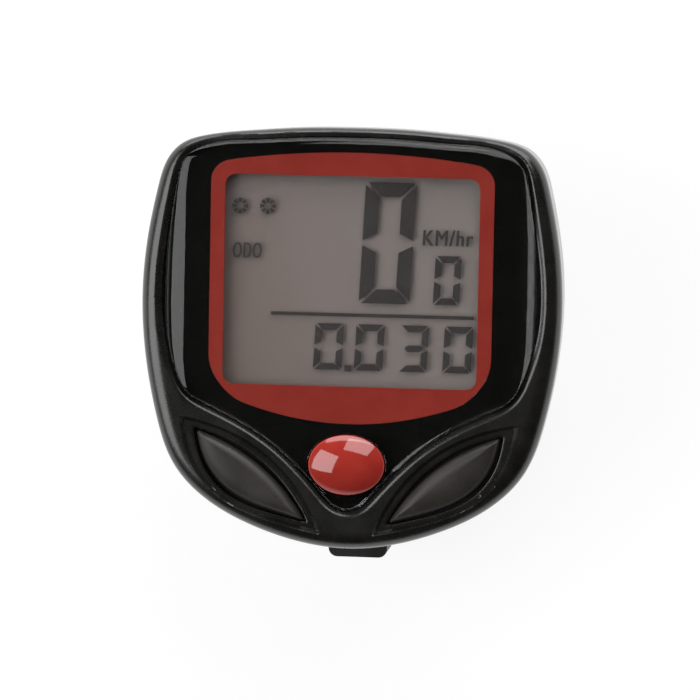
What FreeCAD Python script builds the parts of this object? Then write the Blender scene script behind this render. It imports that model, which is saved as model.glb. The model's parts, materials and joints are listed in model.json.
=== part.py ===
import FreeCAD, Part
import math
import os

# Wired cycling computer on its handlebar bracket, lying on its back.
# Frame: origin on the handlebar axis, +X along the handlebar, +Y towards the top of the
# display, +Z out through the display. Millimetres.

# ---------- handlebar bracket ----------
bar_radius = 12.7            # 25.4 mm handlebar
saddle_half_angle = 80.0     # degrees of bar hugged each side of the top
pad_thickness = 1.0
pad_length = 19.0            # along the bar
pad_fit = 0.03
base_length = 20.0           # along the bar
base_wall = 2.8              # base material in front of and behind the pad
crown_thickness = 2.6        # base material over the top of the pad
base_corner = 2.5            # rounding of the base's upright edges
base_edge = 0.9              # rounding of the base's top edge
tie_width = 3.2              # cable-tie tunnel, along the bar
tie_height = 1.3
tie_roof = 0.6               # base material between pad and tunnel
tie_spacing = 14.0           # between the two tunnels
inlet_radius = 1.3           # sensor-lead inlet
inlet_length = 4.5
inlet_x = 0.0
inlet_drop = 3.9             # inlet axis below the base's top

# ---------- slide shoe and release tongue ----------
neck_width = 14.0
neck_height = 1.6
flange_width = 20.0
flange_thickness = 1.6
shoe_front = 8.0             # +Y end of the shoe
shoe_back = -10.0            # -Y end of the shoe
slide_gap = 0.25             # head's back over the flange
lip_gap = 0.2                # head's rails round the flange
rail_thickness = 1.8
rail_inset = 0.5             # lip's edge outside the neck
stop_gap = 0.1
stop_thickness = 1.5
contact_radius = 1.1
contact_sunk = 0.9
contact_proud = 0.2
tongue_width = 7.6
tongue_thickness = 1.3
tongue_side_gap = 0.3
tongue_root = 2.0            # Y of the flexure
tongue_root_gap = 0.3
tongue_drop = 0.9            # tongue's top below the flange's top
tongue_swing = 4.0           # degrees
pad_overhang = 3.0           # thumb pad beyond the case
thumb_length = 3.4
thumb_height = 7.0
hook_back = -16.9
hook_length = 2.3
hook_height = 1.85           # above the tongue's top
hook_flat = 0.7              # flat land behind the ramp
notch_clearance = 0.15
notch_lip = 1.2              # head's bar that the hook holds
relief_depth = 1.0           # finger channel in the head's back
channel_gap = 0.25           # tongue over the base's channel

# ---------- head: overall ----------
case_width = 53.0
case_height = 53.0
case_offset = 3.0            # case centre in front of the bar axis
back_height = 8.5            # back plane to parting line
deck_height = 14.6           # back plane to the top of the case's deck
deck_thickness = 1.8
shoulder = 1.1               # rounding of the deck's outer edge
side_wall = 1.5
back_wall = 1.5
back_taper = 2.2             # how far the back draws in at its flat face
back_taper_height = 1.9
back_taper_steps = 4
back_step = 0.3              # back case is this much inside the top case
seal_width = 0.5
seal_depth = 0.5
seal_inset = 0.85

# ---------- lens, printed layers and display ----------
lens_side_band = 2.78
lens_top_band = 1.2
lens_bottom_band = 5.0
lens_seat_depth = 1.2
lens_proud = 0.75            # lens edge above the deck
lens_edge = 0.9              # width of the lens' rounded edge
lens_fit = 0.1
film_thickness = 0.12
film_inset = 0.2
frame_side = 8.7             # red border inside the case outline: sides, top and bottom
frame_drop = 3.05
frame_rise = 15.9
frame_top_rise = 1.6         # top edge bows up in the middle
frame_bottom_drop = 4.16     # bottom edge bows down in the middle
frame_corner_top = 2.1
frame_corner_bottom = 4.2
frame_gap = 0.05
window_side = 1.8            # width of the red border: sides, top and bottom
window_drop = 2.95
window_rise = 4.7
window_corner = 1.3
glass_side = 1.0             # glass hidden behind the border: sides, top and bottom
glass_rise = 1.8
glass_fall = 1.7
glass_step = 1.2             # rear glass is shorter at the contact edge
glass_thickness = 0.55
polariser_thickness = 0.2
reflector_thickness = 0.25
polariser_margin = 0.3
glass_clearance = 0.3        # glass inside the deck's window
glass_window_corner = 0.4
glass_drop = 0.2             # front polariser under the printed film
tray_rim = 1.1
tray_floor = 0.8
tray_gap = 0.1
zebra_end = 1.5              # strip stops short of the glass
zebra_width = 0.9

# ---------- circuit board and battery ----------
board_thickness = 0.8
board_inset = 4.2
board_above_parting = 0.35   # board's underside above the parting line
post_radius = 1.6
post_side = 11.0             # board screws inside the case outline
post_drop = 20.5
post_rise = 6.2
upper_screw_side = 6.0       # case screws inside the case outline
upper_screw_drop = 11.0
lower_screw_side = 5.5
lower_screw_rise = 20.0
boss_radius = 1.9
boss_clearance = 0.3
case_screw_radius = 0.8
case_screw_head = 1.5
case_screw_head_height = 1.0
case_screw_grip = 3.4        # thread length inside the top case
screw_fit = 0.1
board_screw_radius = 0.6
board_screw_head = 1.2
board_screw_head_height = 0.6
board_screw_grip = 3.0
cell_radius = 5.8
cell_height = 5.4
cell_gap = 0.03
well_fit = 0.15
well_ledge = 0.35
well_rib = 1.0
cover_rim = 1.4              # cover, its neck and its lugs beyond the cell
cover_neck_rim = 0.6
cover_lug_rim = 1.2
cover_stop_gap = 0.7         # cover in front of the slide stop
cover_swing = 55.0           # degrees from locked to released
cover_thickness = 1.3
cover_fit = 0.1
cover_neck_height = 0.9
cover_lug_half_angle = 14.0
cover_lug_height = 0.45
gasket_thickness = 0.2
gasket_gap = 0.03
coin_slot_length = 9.0
coin_slot_width = 1.6
coin_slot_depth = 0.7
well_wall = 1.0
contact_strip = 0.25
contact_strip_width = 3.0
stud_radius = 1.5
stud_head = 0.5
stud_shank_radius = 0.8
stud_spacing = 6.0
stud_y = 5.0                 # in front of the bar axis
pin_radius = 0.5

# ---------- keys ----------
leaf_half_length = 8.88
leaf_upper = 1.67            # bulge towards the lens
leaf_lower = 3.3             # bulge towards the outside
leaf_side = 14.24            # leaf centre inside the case outline
leaf_rise = 9.1
leaf_angle = 38.7            # degrees, outer end up
key_proud = 0.55
key_recess = 0.55            # recess round the key
key_recess_depth = 0.7
key_fit = 0.2
key_flange = 0.7
key_flange_thickness = 0.7
key_rest_gap = 0.2           # flange under the deck
plunger_radius = 1.2
plunger_out = 0.14           # plunger from the leaf centre
plunger_down = 0.8
centre_key_a = 4.82
centre_key_b = 3.82
centre_key_rise = 5.84       # above the tip of the lens
centre_key_crown = 1.4       # above the lens
centre_key_fit = 0.12
dome_radius = 2.2
dome_top_radius = 1.3
dome_height = 1.6
dome_gap = 0.05              # plunger over its rubber dome

# ---------- levels ----------
pad_radius = bar_radius + pad_thickness
foot_z = bar_radius * math.cos(math.radians(saddle_half_angle))
base_top = pad_radius + crown_thickness
neck_top = base_top + neck_height
flange_top = neck_top + flange_thickness
back_z = flange_top + slide_gap
part_z = back_z + back_height
deck_z = back_z + deck_height
deck_under = deck_z - deck_thickness
lens_seat = deck_z - lens_seat_depth
lens_under = lens_seat + film_thickness
lens_top = deck_z + lens_proud
board_z = part_z + board_above_parting
board_top = board_z + board_thickness
polariser_top = lens_seat - glass_drop
front_glass_top = polariser_top - polariser_thickness
rear_glass_top = front_glass_top - glass_thickness
reflector_top = rear_glass_top - glass_thickness
tray_top = reflector_top - reflector_thickness
dome_top = board_top + dome_height
plunger_end = dome_top + dome_gap
key_flange_top = deck_under - key_rest_gap
key_flange_under = key_flange_top - key_flange_thickness
tongue_top = flange_top - tongue_drop
tongue_under = tongue_top - tongue_thickness
cover_under = back_z
cover_top = cover_under + cover_thickness
gasket_top = cover_top + gasket_thickness
ledge_z = gasket_top + gasket_gap
neck_end = gasket_top + cover_neck_height
cell_bottom = neck_end + cell_gap
cell_top = cell_bottom + cell_height

# ---------- places ----------
half_width = case_width / 2
half_height = case_height / 2
case_back = case_offset - half_height      # Y of the case's lower edge
base_depth = 2 * (pad_radius + base_wall)

# The places from here on are measured from the case centre.
frame_half_width = half_width - frame_side
frame_top = half_height - frame_drop
frame_bottom = frame_rise - half_height
window_half_width = frame_half_width - window_side
window_top = frame_top - window_drop
window_bottom = frame_bottom + window_rise
glass_half_width = window_half_width + glass_side
glass_top = window_top + glass_rise
glass_bottom = window_bottom - glass_fall
zebra_half_length = glass_half_width - zebra_end
post_sites = ((post_side - half_width, half_height - post_drop),
              (half_width - post_side, half_height - post_drop), (0.0, post_rise - half_height))
case_screw_sites = ((upper_screw_side - half_width, half_height - upper_screw_drop),
                    (half_width - upper_screw_side, half_height - upper_screw_drop),
                    (lower_screw_side - half_width, lower_screw_rise - half_height),
                    (half_width - lower_screw_side, lower_screw_rise - half_height))
cover_radius = cell_radius + cover_rim
cover_neck_radius = cell_radius + cover_neck_rim
cover_lug_radius = cell_radius + cover_lug_rim
stop_front = shoe_front + stop_gap + stop_thickness
cell_y = stop_front + cover_stop_gap + cover_radius + cover_fit - case_offset
leaf_x = half_width - leaf_side
leaf_y = leaf_rise - half_height
plunger_x = leaf_x + plunger_out
plunger_y = leaf_y - plunger_down
centre_key_y = lens_bottom_band + centre_key_rise - half_height


def vec(x, y, z):
    return FreeCAD.Vector(x, y, z)


def box(x0, x1, y0, y1, z0, z1):
    return Part.makeBox(x1 - x0, y1 - y0, z1 - z0, vec(x0, y0, z0))


def post(x, y, radius, z0, z1):
    return Part.makeCylinder(radius, z1 - z0, vec(x, y, z0))


def join(first, *others):
    return first.fuse(list(others)).removeSplitter()


def rise(wire, height):
    return Part.Face(wire).extrude(vec(0, 0, height))


def smooth_loop(points, z):
    """Closed curve through the points, at height z."""
    curve = Part.BSplineCurve()
    curve.interpolate(Points=[vec(x, y, z) for x, y in points], PeriodicFlag=True)
    return Part.Wire([curve.toShape()])


def mirrored(half):
    """Full loop from the right-hand half, which runs from top centre to bottom centre."""
    return half + [(-x, y) for x, y in reversed(half[1:-1])]


def rounded_panel(half_x, y0, y1, z0, z1, corner):
    panel = box(-half_x, half_x, y0, y1, z0, z1)
    uprights = [e for e in panel.Edges if abs(e.Vertexes[0].Z - e.Vertexes[1].Z) > (z1 - z0) / 2]
    return panel.makeFillet(corner, uprights)


# Right half of the case outline, as shares of its half width and half height.
CASE_SHAPE = [(0.0, 1.0), (0.240, 0.996), (0.479, 0.979), (0.698, 0.953), (0.823, 0.909),
              (0.887, 0.838), (0.932, 0.706), (0.977, 0.475), (1.0, 0.189), (0.981, -0.102),
              (0.925, -0.389), (0.838, -0.619), (0.668, -0.792), (0.442, -0.909), (0.0, -1.0)]

# Right half of the lens outline, the same way: a shield whose lower edges curve in to a tip.
LENS_SHAPE = [(0.0, 1.0), (0.270, 0.995), (0.527, 0.979), (0.793, 0.940), (0.885, 0.876),
              (0.923, 0.769), (0.953, 0.603), (0.982, 0.406), (1.0, 0.197), (0.982, -0.064),
              (0.927, -0.252), (0.860, -0.380), (0.729, -0.462), (0.556, -0.549), (0.371, -0.675),
              (0.228, -0.812), (0.145, -0.905), (0.075, -0.975), (0.0, -1.0)]


def case_loop(inset, z):
    half = [(fx * (half_width - inset), case_offset + fy * (half_height - inset))
            for fx, fy in CASE_SHAPE]
    return smooth_loop(mirrored(half), z)


def case_block(inset, z0, z1):
    return rise(case_loop(inset, z0), z1 - z0)


def lens_loop(inset, z):
    top = half_height - lens_top_band
    bottom = lens_bottom_band - half_height
    middle = case_offset + (top + bottom) / 2
    half_x = half_width - lens_side_band - inset
    half_y = (top - bottom) / 2 - inset
    return smooth_loop(mirrored([(fx * half_x, middle + fy * half_y) for fx, fy in LENS_SHAPE]), z)


def lens_block(inset, z0, z1):
    return rise(lens_loop(inset, z0), z1 - z0)


def rounded_top(loop, z0, z1, edge, steps):
    """Block between z0 and z1 whose top edge is a quarter round of the given width."""
    sections = [loop(0.0, z0)]
    for step in range(steps + 1):
        turn = math.radians(90.0 * step / steps)
        sections.append(loop(edge * (1 - math.cos(turn)), z1 - edge * (1 - math.sin(turn))))
    return Part.makeLoft(sections, True, True)


def case_frame(shape):
    return shape.translated(vec(0, case_offset, 0))


def leaf_loop(side, grow, z):
    """Leaf-shaped key outline. side is +1 for the right key and -1 for the left."""
    length = leaf_half_length + grow
    lower = leaf_lower + grow
    tip_in = (-length, 0.0)
    tip_out = (length, 0.0)
    upper_edge = Part.Arc(*[leaf_point(side, u, v, z) for u, v in
                            (tip_in, (0.0, leaf_upper + grow), tip_out)]).toShape()
    lower_curve = Part.BSplineCurve()
    lower_points = (tip_out, (0.72 * length, -0.57 * lower), (0.21 * length, -0.99 * lower),
                    (-0.45 * length, -0.63 * lower), tip_in)
    lower_curve.interpolate(Points=[leaf_point(side, u, v, z) for u, v in lower_points])
    return Part.Wire([upper_edge, lower_curve.toShape()])


def leaf_point(side, u, v, z):
    """u runs along the leaf towards its outer end, v across it towards the lens."""
    turn = math.radians(leaf_angle)
    x = leaf_x + u * math.cos(turn) - v * math.sin(turn)
    y = leaf_y + u * math.sin(turn) + v * math.cos(turn)
    return vec(side * x, case_offset + y, z)


def centre_loop(grow, z):
    ellipse = Part.Ellipse(vec(0, case_offset + centre_key_y, z), centre_key_a + grow,
                           centre_key_b + grow)
    return Part.Wire([ellipse.toShape()])


def bent_strip(path, thickness, x0, x1):
    """Strip of sheet that follows a (y, z) path, extruded from x0 to x1."""
    left = []
    right = []
    for i, (y, z) in enumerate(path):
        before = path[max(i - 1, 0)]
        after = path[min(i + 1, len(path) - 1)]
        run = math.atan2(after[1] - before[1], after[0] - before[0])
        dy = -math.sin(run) * thickness / 2
        dz = math.cos(run) * thickness / 2
        left.append(vec(x0, y + dy, z + dz))
        right.append(vec(x0, y - dy, z - dz))
    outline = left + right[::-1]
    return Part.Face(Part.makePolygon(outline + [outline[0]])).extrude(vec(x1 - x0, 0, 0))


# ---------- bracket ----------

def bracket_base():
    half_x = base_length / 2
    half_y = base_depth / 2
    block = rounded_panel(half_x, -half_y, half_y, foot_z, base_top, base_corner)
    block = block.makeFillet(base_edge, [e for e in block.Edges if e.BoundBox.ZMin > base_top - 0.001])
    neck = box(-neck_width / 2, neck_width / 2, shoe_back, shoe_front, base_top, neck_top)
    flange = box(-flange_width / 2, flange_width / 2, shoe_back, shoe_front, neck_top, flange_top)
    body = join(block, neck, flange)
    body = body.cut(bar_cylinder(pad_radius, base_length))
    for side in (-1, 1):
        body = body.cut(tie_tunnel(side * tie_spacing / 2))
    body = body.cut(tongue_channel())
    inlet = Part.makeCylinder(inlet_radius, inlet_length,
                              vec(inlet_x, half_y - inlet_length, base_top - inlet_drop),
                              vec(0, 1, 0))
    body = body.cut(inlet)
    for x, y in contact_sites():
        body = body.cut(post(x, y, contact_radius + screw_fit / 5, flange_top - contact_sunk,
                             flange_top + 1))
    return body


def bar_cylinder(radius, length):
    return Part.makeCylinder(radius, length, vec(-length / 2, 0, 0), vec(1, 0, 0))


def tie_tunnel(x):
    start = vec(x - tie_width / 2, 0, 0)
    inner = pad_radius + tie_roof
    outside = Part.makeCylinder(inner + tie_height, tie_width, start, vec(1, 0, 0))
    return outside.cut(Part.makeCylinder(inner, tie_width, start, vec(1, 0, 0)))


def tongue_channel():
    """Slot through the shoe, with a floor that falls away below the swinging tongue."""
    half_x = tongue_width / 2 + tongue_side_gap
    front = tongue_root + tongue_root_gap
    back = -base_depth / 2 - 1
    floor = tongue_under - channel_gap
    fall = (front - back) * math.tan(math.radians(tongue_swing))
    corners = [(front, floor), (back, floor - fall), (back, flange_top + 1), (front, flange_top + 1)]
    points = [vec(-half_x, y, z) for y, z in corners]
    return Part.Face(Part.makePolygon(points + [points[0]])).extrude(vec(2 * half_x, 0, 0))


def saddle_pad():
    sleeve = bar_cylinder(pad_radius - pad_fit, pad_length).cut(bar_cylinder(bar_radius, pad_length))
    return sleeve.common(box(-pad_length, pad_length, -pad_radius, pad_radius, foot_z, pad_radius))


def contact_sites():
    return [(side * stud_spacing / 2, stud_y) for side in (-1, 1)]


def bracket_contacts():
    return Part.makeCompound([post(x, y, contact_radius, flange_top - contact_sunk,
                                   flange_top + contact_proud) for x, y in contact_sites()])


def latch_tongue():
    half_x = tongue_width / 2
    end = case_back - pad_overhang
    blade = box(-half_x, half_x, end + thumb_length / 2, tongue_root, tongue_under, tongue_top)
    thumb = rounded_panel(half_x, end, end + thumb_length, tongue_top - thumb_height, tongue_top,
                          thumb_length / 3)
    profile = [(hook_back, tongue_top), (hook_back, tongue_top + hook_height),
               (hook_back + hook_flat, tongue_top + hook_height), (hook_back + hook_length, tongue_top)]
    points = [vec(-half_x, y, z) for y, z in profile]
    hook = Part.Face(Part.makePolygon(points + [points[0]])).extrude(vec(tongue_width, 0, 0))
    return join(blade, thumb, hook)


# ---------- head: the two shells ----------

def back_case():
    shell = back_outside().cut(case_block(back_step + side_wall + back_step, back_z + back_wall,
                                          part_z + 1))
    inside = [well_block(), notch_boss()]
    inside += [post(x, case_offset + y, post_radius, back_z, board_z) for x, y in post_sites]
    inside += [post(x, case_offset + y, boss_radius, back_z, part_z) for x, y in case_screw_sites]
    room = back_outside(board_z - part_z)
    shell = join(shell, *[piece.common(room) for piece in inside])
    shell = shell.cut(well_bore())
    for x, y in case_screw_sites:
        hole = case_screw_radius + screw_fit
        shell = shell.cut(post(x, case_offset + y, hole, back_z - 1, part_z + 1))
        shell = shell.cut(post(x, case_offset + y, case_screw_head + screw_fit, back_z - 1,
                               back_z + case_screw_head_height + screw_fit))
    for x, y in post_sites:
        shell = shell.cut(post(x, case_offset + y, board_screw_radius + screw_fit / 5,
                               board_z - board_screw_grip, board_z + 1))
    for x, y in contact_sites():
        shell = shell.cut(post(x, y, stud_radius + screw_fit / 5, back_z - 1, back_z + stud_head))
        shell = shell.cut(post(x, y, stud_shank_radius + screw_fit / 5, back_z, back_z + back_wall))
    groove = case_block(seal_inset, part_z - seal_depth, part_z + 1)
    groove = groove.cut(case_block(seal_inset + seal_width, part_z - seal_depth, part_z + 1))
    shell = shell.cut(groove).cut(notch_space())
    return join(shell, *rails())


def back_outside(extra=0.0):
    """Outer form of the back case, with its edge rounded in; extra lengthens it upwards."""
    sections = []
    for step in range(back_taper_steps + 1):
        turn = math.radians(90.0 * step / back_taper_steps)
        sections.append(case_loop(back_step + back_taper * (1 - math.sin(turn)),
                                  back_z + back_taper_height * (1 - math.cos(turn))))
    sections.append(case_loop(back_step, part_z + extra))
    return Part.makeLoft(sections, True, True)


def well_block():
    radius = cover_lug_radius + well_fit + well_wall
    return post(0, case_offset + cell_y, radius, back_z, cell_top)


def well_bore():
    """Battery well: recess for the cover, bayonet ledge with two entries, and the bore."""
    y = case_offset + cell_y
    bore = post(0, y, cover_lug_radius + well_fit, ledge_z + well_ledge, cell_top + 1)
    for turn in (30, 150, 270):
        rib = box(cell_radius + well_fit, cover_lug_radius + 1, -well_rib / 2, well_rib / 2,
                  neck_end + well_fit, cell_top + 1)
        rib.rotate(vec(0, 0, 0), vec(0, 0, 1), turn)
        bore = bore.cut(rib.translated(vec(0, y, 0)))
    recess = post(0, y, cover_radius + cover_fit, back_z - 1, ledge_z)
    neck = post(0, y, cover_neck_radius + cover_fit, back_z, ledge_z + well_ledge)
    entry = cover_lugs(cover_lug_radius + well_fit, cover_lug_half_angle + 2, ledge_z - well_fit,
                       ledge_z + well_ledge + well_fit)
    entry.rotate(vec(0, y, 0), vec(0, 0, 1), cover_swing)
    slot = box(-contact_strip_width / 2 - well_fit, contact_strip_width / 2 + well_fit, y,
               y + cover_lug_radius + well_wall + 1, neck_end + well_fit, cell_top + 1)
    return join(bore, recess, neck, entry, slot)


def cover_lugs(radius, half_angle, z0, z1):
    """Two opposite sectors, on the battery cover's axis."""
    y = case_offset + cell_y
    sectors = []
    for turn in (0, 180):
        sector = Part.makeCylinder(radius, z1 - z0, vec(0, 0, z0), vec(0, 0, 1), 2 * half_angle)
        sector.rotate(vec(0, 0, 0), vec(0, 0, 1), turn - half_angle)
        sectors.append(sector.translated(vec(0, y, 0)))
    return Part.makeCompound(sectors)


def notch_boss():
    half_x = tongue_width / 2 + tongue_side_gap + back_wall
    front = hook_back + hook_length + notch_clearance + back_wall
    return box(-half_x, half_x, case_back, front, back_z, back_z + back_wall + relief_depth)


def notch_space():
    """Pocket for the hook, the bar that it holds, and the channel behind that bar."""
    half_x = tongue_width / 2 + tongue_side_gap
    hook_top = tongue_top + hook_height
    pocket_back = hook_back - notch_clearance
    pocket = box(-half_x, half_x, pocket_back, hook_back + hook_length + notch_clearance,
                 back_z - 1, hook_top + notch_clearance)
    relief = box(-half_x, half_x, case_back - 1, pocket_back - notch_lip, back_z - 1,
                 back_z + relief_depth)
    return Part.makeCompound([pocket, relief])


def rails():
    web = flange_width / 2 + lip_gap
    lip_edge = neck_width / 2 + rail_inset
    low = base_top + lip_gap
    stop = shoe_front + stop_gap
    back = shoe_back + rail_inset
    front = stop + stop_thickness
    pieces = [box(-web, web, stop, front, low, back_z + back_wall / 2)]
    for side in (-1, 1):
        x0, x1 = sorted((side * web, side * (web + rail_thickness)))
        pieces.append(box(x0, x1, back, front, low, back_z + back_wall / 2))
        x0, x1 = sorted((side * lip_edge, side * (web + rail_thickness)))
        pieces.append(box(x0, x1, back, front, low, neck_top - lip_gap))
    return pieces


def top_case():
    outside = rounded_top(case_loop, part_z, deck_z, shoulder, 5)
    shell = outside.cut(case_block(side_wall, part_z - 1, deck_under))
    bosses = [post(x, case_offset + y, boss_radius, part_z, deck_under) for x, y in case_screw_sites]
    shell = join(shell, *bosses)
    for x, y in case_screw_sites:
        shell = shell.cut(post(x, case_offset + y, case_screw_radius + screw_fit / 5, part_z - 1,
                               part_z + case_screw_grip))
    shell = shell.cut(lens_block(-lens_fit, lens_seat, deck_z + 1))
    grow = glass_clearance
    window = rounded_panel(glass_half_width + grow, glass_bottom - grow, glass_top + grow,
                           deck_under - 1, lens_seat + 1, glass_window_corner)
    shell = shell.cut(case_frame(window))
    for side in (-1, 1):
        shell = shell.cut(rise(leaf_loop(side, key_fit, deck_under - 1), deck_thickness + 2))
        shell = shell.cut(rise(leaf_loop(side, key_recess, deck_z - key_recess_depth), 2))
    return shell.cut(rise(centre_loop(centre_key_fit, deck_under - 1), deck_thickness + 2))


def case_seal():
    ring = case_block(seal_inset, part_z - seal_depth, part_z)
    return ring.cut(case_block(seal_inset + seal_width, part_z - seal_depth, part_z))


def case_screws():
    screws = []
    for x, y in case_screw_sites:
        head = post(x, case_offset + y, case_screw_head, back_z + screw_fit / 2,
                    back_z + case_screw_head_height + screw_fit / 2)
        shank = post(x, case_offset + y, case_screw_radius, back_z + case_screw_head_height,
                     part_z + case_screw_grip - screw_fit)
        screws.append(join(head, shank))
    return Part.makeCompound(screws)


# ---------- lens, printed layers and display ----------

def lens():
    body = rounded_top(lens_loop, lens_under, lens_top, lens_edge, 4)
    return body.cut(rise(centre_loop(centre_key_fit, lens_under - 1), lens_top - lens_under + 2))


def frame_panel(grow, z0, z1):
    """Red border panel: upright sides between a bowed top and a more bowed bottom."""
    half_x = frame_half_width + grow
    top = frame_top + grow
    bottom = frame_bottom - grow
    upper = bow(half_x, top, -frame_top_rise, z0)
    lower = bow(half_x, bottom, frame_bottom_drop, z0)
    sides = [Part.makeLine(vec(side * half_x, top - frame_top_rise, z0),
                           vec(side * half_x, bottom + frame_bottom_drop, z0)) for side in (-1, 1)]
    outline = Part.Wire(Part.__sortEdges__([upper, sides[1], lower, sides[0]]))
    panel = rise(outline, z1 - z0)
    panel = panel.makeFillet(frame_corner_top + grow, uprights_at(panel, top - frame_top_rise))
    return case_frame(panel.makeFillet(frame_corner_bottom + grow,
                                       uprights_at(panel, bottom + frame_bottom_drop)))


def bow(half_x, y, end_shift, z):
    """Arc through (0, y) whose two ends lie end_shift away from it in Y."""
    return Part.Arc(vec(-half_x, y + end_shift, z), vec(0, y, z),
                    vec(half_x, y + end_shift, z)).toShape()


def uprights_at(panel, y):
    """Upright edges of a panel at the given Y."""
    return [e for e in panel.Edges if abs(e.BoundBox.Center.y - y) < 0.001
            and e.BoundBox.YLength < 0.001 and e.BoundBox.XLength < 0.001]


def display_window(z0, z1):
    return case_frame(rounded_panel(window_half_width, window_bottom, window_top, z0, z1,
                                    window_corner))


def lens_mask():
    film = lens_block(film_inset, lens_seat, lens_under)
    film = film.cut(frame_panel(frame_gap, lens_seat - 1, lens_under + 1))
    return film.cut(rise(centre_loop(centre_key_fit, lens_seat - 1), 2))


def red_frame():
    return frame_panel(0.0, lens_seat, lens_under).cut(display_window(lens_seat - 1, lens_under + 1))


def glass_plate(y0, z0, z1, margin=0.0):
    half_x = glass_half_width - margin
    return case_frame(box(-half_x, half_x, y0 + margin, glass_top - margin, z0, z1))


def front_polariser():
    return glass_plate(glass_bottom, front_glass_top, polariser_top, polariser_margin)


def lcd_front_glass():
    return glass_plate(glass_bottom, rear_glass_top, front_glass_top)


def lcd_rear_glass():
    return glass_plate(glass_bottom + glass_step, reflector_top, rear_glass_top)


def rear_reflector():
    return glass_plate(glass_bottom + glass_step, tray_top, reflector_top, polariser_margin)


def lcd_tray():
    """Holder round the display glass, standing on the board on four feet."""
    half_x = glass_half_width + tray_gap + tray_rim
    low = glass_bottom - tray_gap - tray_rim
    high = glass_top + tray_gap + tray_rim
    tray = rounded_panel(half_x, low, high, tray_top - tray_floor, deck_under - tray_gap, window_corner)
    inner = glass_half_width + tray_gap
    tray = tray.cut(box(-inner, inner, glass_bottom - tray_gap, glass_top + tray_gap, tray_top,
                        deck_under + 1))
    slot = zebra_half_length + tray_gap
    tray = tray.cut(box(-slot, slot, glass_bottom, glass_bottom + zebra_width + 2 * tray_gap,
                        board_top, deck_under))
    feet = [post(side * (half_x - tray_rim), y, tray_rim, board_top, tray_top - tray_floor)
            for side in (-1, 1) for y in (low + 2 * tray_rim, high - 2 * tray_rim)]
    return case_frame(join(tray, *feet))


def zebra_strip():
    y0 = glass_bottom + tray_gap
    return case_frame(box(-zebra_half_length, zebra_half_length, y0, y0 + zebra_width, board_top,
                          rear_glass_top))


# ---------- circuit board ----------

def circuit_board():
    board = case_block(board_inset, board_z, board_top)
    for x, y in case_screw_sites:
        board = board.cut(post(x, case_offset + y, boss_radius + boss_clearance, board_z - 1,
                               board_top + 1))
    for x, y in post_sites:
        board = board.cut(post(x, case_offset + y, board_screw_radius + screw_fit, board_z - 1,
                               board_top + 1))
    return board


def board_screws():
    screws = []
    for x, y in post_sites:
        head = post(x, case_offset + y, board_screw_head, board_top,
                    board_top + board_screw_head_height)
        shank = post(x, case_offset + y, board_screw_radius, board_z - board_screw_grip + screw_fit,
                     board_top)
        screws.append(join(head, shank))
    return Part.makeCompound(screws)


chip_x = 10.5
chip_y = -8.5
chip_radius = 3.6
chip_height = 1.1
crystal_radius = 1.0
crystal_length = 6.0
crystal_x = -12.0
crystal_y = -5.0
small_part_size = (1.6, 0.8, 0.6)
small_part_pitch = 2.6
small_part_count = 6
small_part_y = -12.0


def chip_blob():
    """Drop of epoxy over the bare chip: a low dome."""
    sphere_radius = (chip_radius ** 2 + chip_height ** 2) / (2 * chip_height)
    ball = Part.makeSphere(sphere_radius, vec(0, 0, board_z + sphere_radius - chip_height))
    slab = box(-chip_radius, chip_radius, -chip_radius, chip_radius, board_z - chip_height, board_z)
    return case_frame(ball.common(slab).translated(vec(chip_x, chip_y, 0)))


def crystal_can():
    start = vec(crystal_x, crystal_y, board_z - crystal_radius)
    return case_frame(Part.makeCylinder(crystal_radius, crystal_length, start, vec(1, 0, 0)))


def small_parts():
    length, width, height = small_part_size
    pieces = []
    for i in range(small_part_count):
        x = (i - (small_part_count - 1) / 2) * small_part_pitch
        pieces.append(case_frame(box(x - width / 2, x + width / 2, small_part_y,
                                     small_part_y + length, board_z - height, board_z)))
    return Part.makeCompound(pieces)


def rubber_dome(x, y):
    return Part.makeCone(dome_radius, dome_top_radius, dome_height,
                         vec(x, case_offset + y, board_top))


# ---------- battery ----------

def battery_cell():
    y = case_offset + cell_y
    body = post(0, y, cell_radius, cell_bottom + 0.25 * cell_height, cell_top)
    button = post(0, y, 0.8 * cell_radius, cell_bottom, cell_bottom + 0.25 * cell_height)
    return join(body, button)


def negative_contact():
    """Folded leaf spring between the board and the cell."""
    y = case_offset + cell_y
    reach = 0.6 * cell_radius
    low = cell_top + contact_strip / 2 + cell_gap
    high = board_z - contact_strip / 2
    path = [(y + reach, high), (y - reach, high), (y - reach - contact_strip, (high + low) / 2),
            (y - reach, low), (y + reach / 2, low)]
    return bent_strip(path, contact_strip, -contact_strip_width / 2, contact_strip_width / 2)


def positive_contact():
    """Upright leaf beside the cell, with a foot under the board."""
    y = case_offset + cell_y
    side = y + cell_radius + contact_strip / 2 + cell_gap
    high = board_z - contact_strip / 2
    path = [(side, neck_end + 2 * well_fit), (side, high), (side + 1.2, high)]
    return bent_strip(path, contact_strip, -contact_strip_width / 2, contact_strip_width / 2)


def battery_cover():
    y = case_offset + cell_y
    disc = post(0, y, cover_radius, cover_under, cover_top)
    neck = post(0, y, cover_neck_radius, cover_top, neck_end)
    lugs = cover_lugs(cover_lug_radius, cover_lug_half_angle, neck_end - cover_lug_height, neck_end)
    cover = join(disc, neck, *lugs.Solids)
    slot = box(-coin_slot_length / 2, coin_slot_length / 2, y - coin_slot_width / 2,
               y + coin_slot_width / 2, cover_under - 1, cover_under + coin_slot_depth)
    return cover.cut(slot)


def cover_gasket():
    y = case_offset + cell_y
    ring = post(0, y, cover_radius, cover_top, gasket_top)
    return ring.cut(post(0, y, cover_neck_radius + cover_fit, cover_top, gasket_top))


# ---------- contacts between bracket and head ----------

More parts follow.
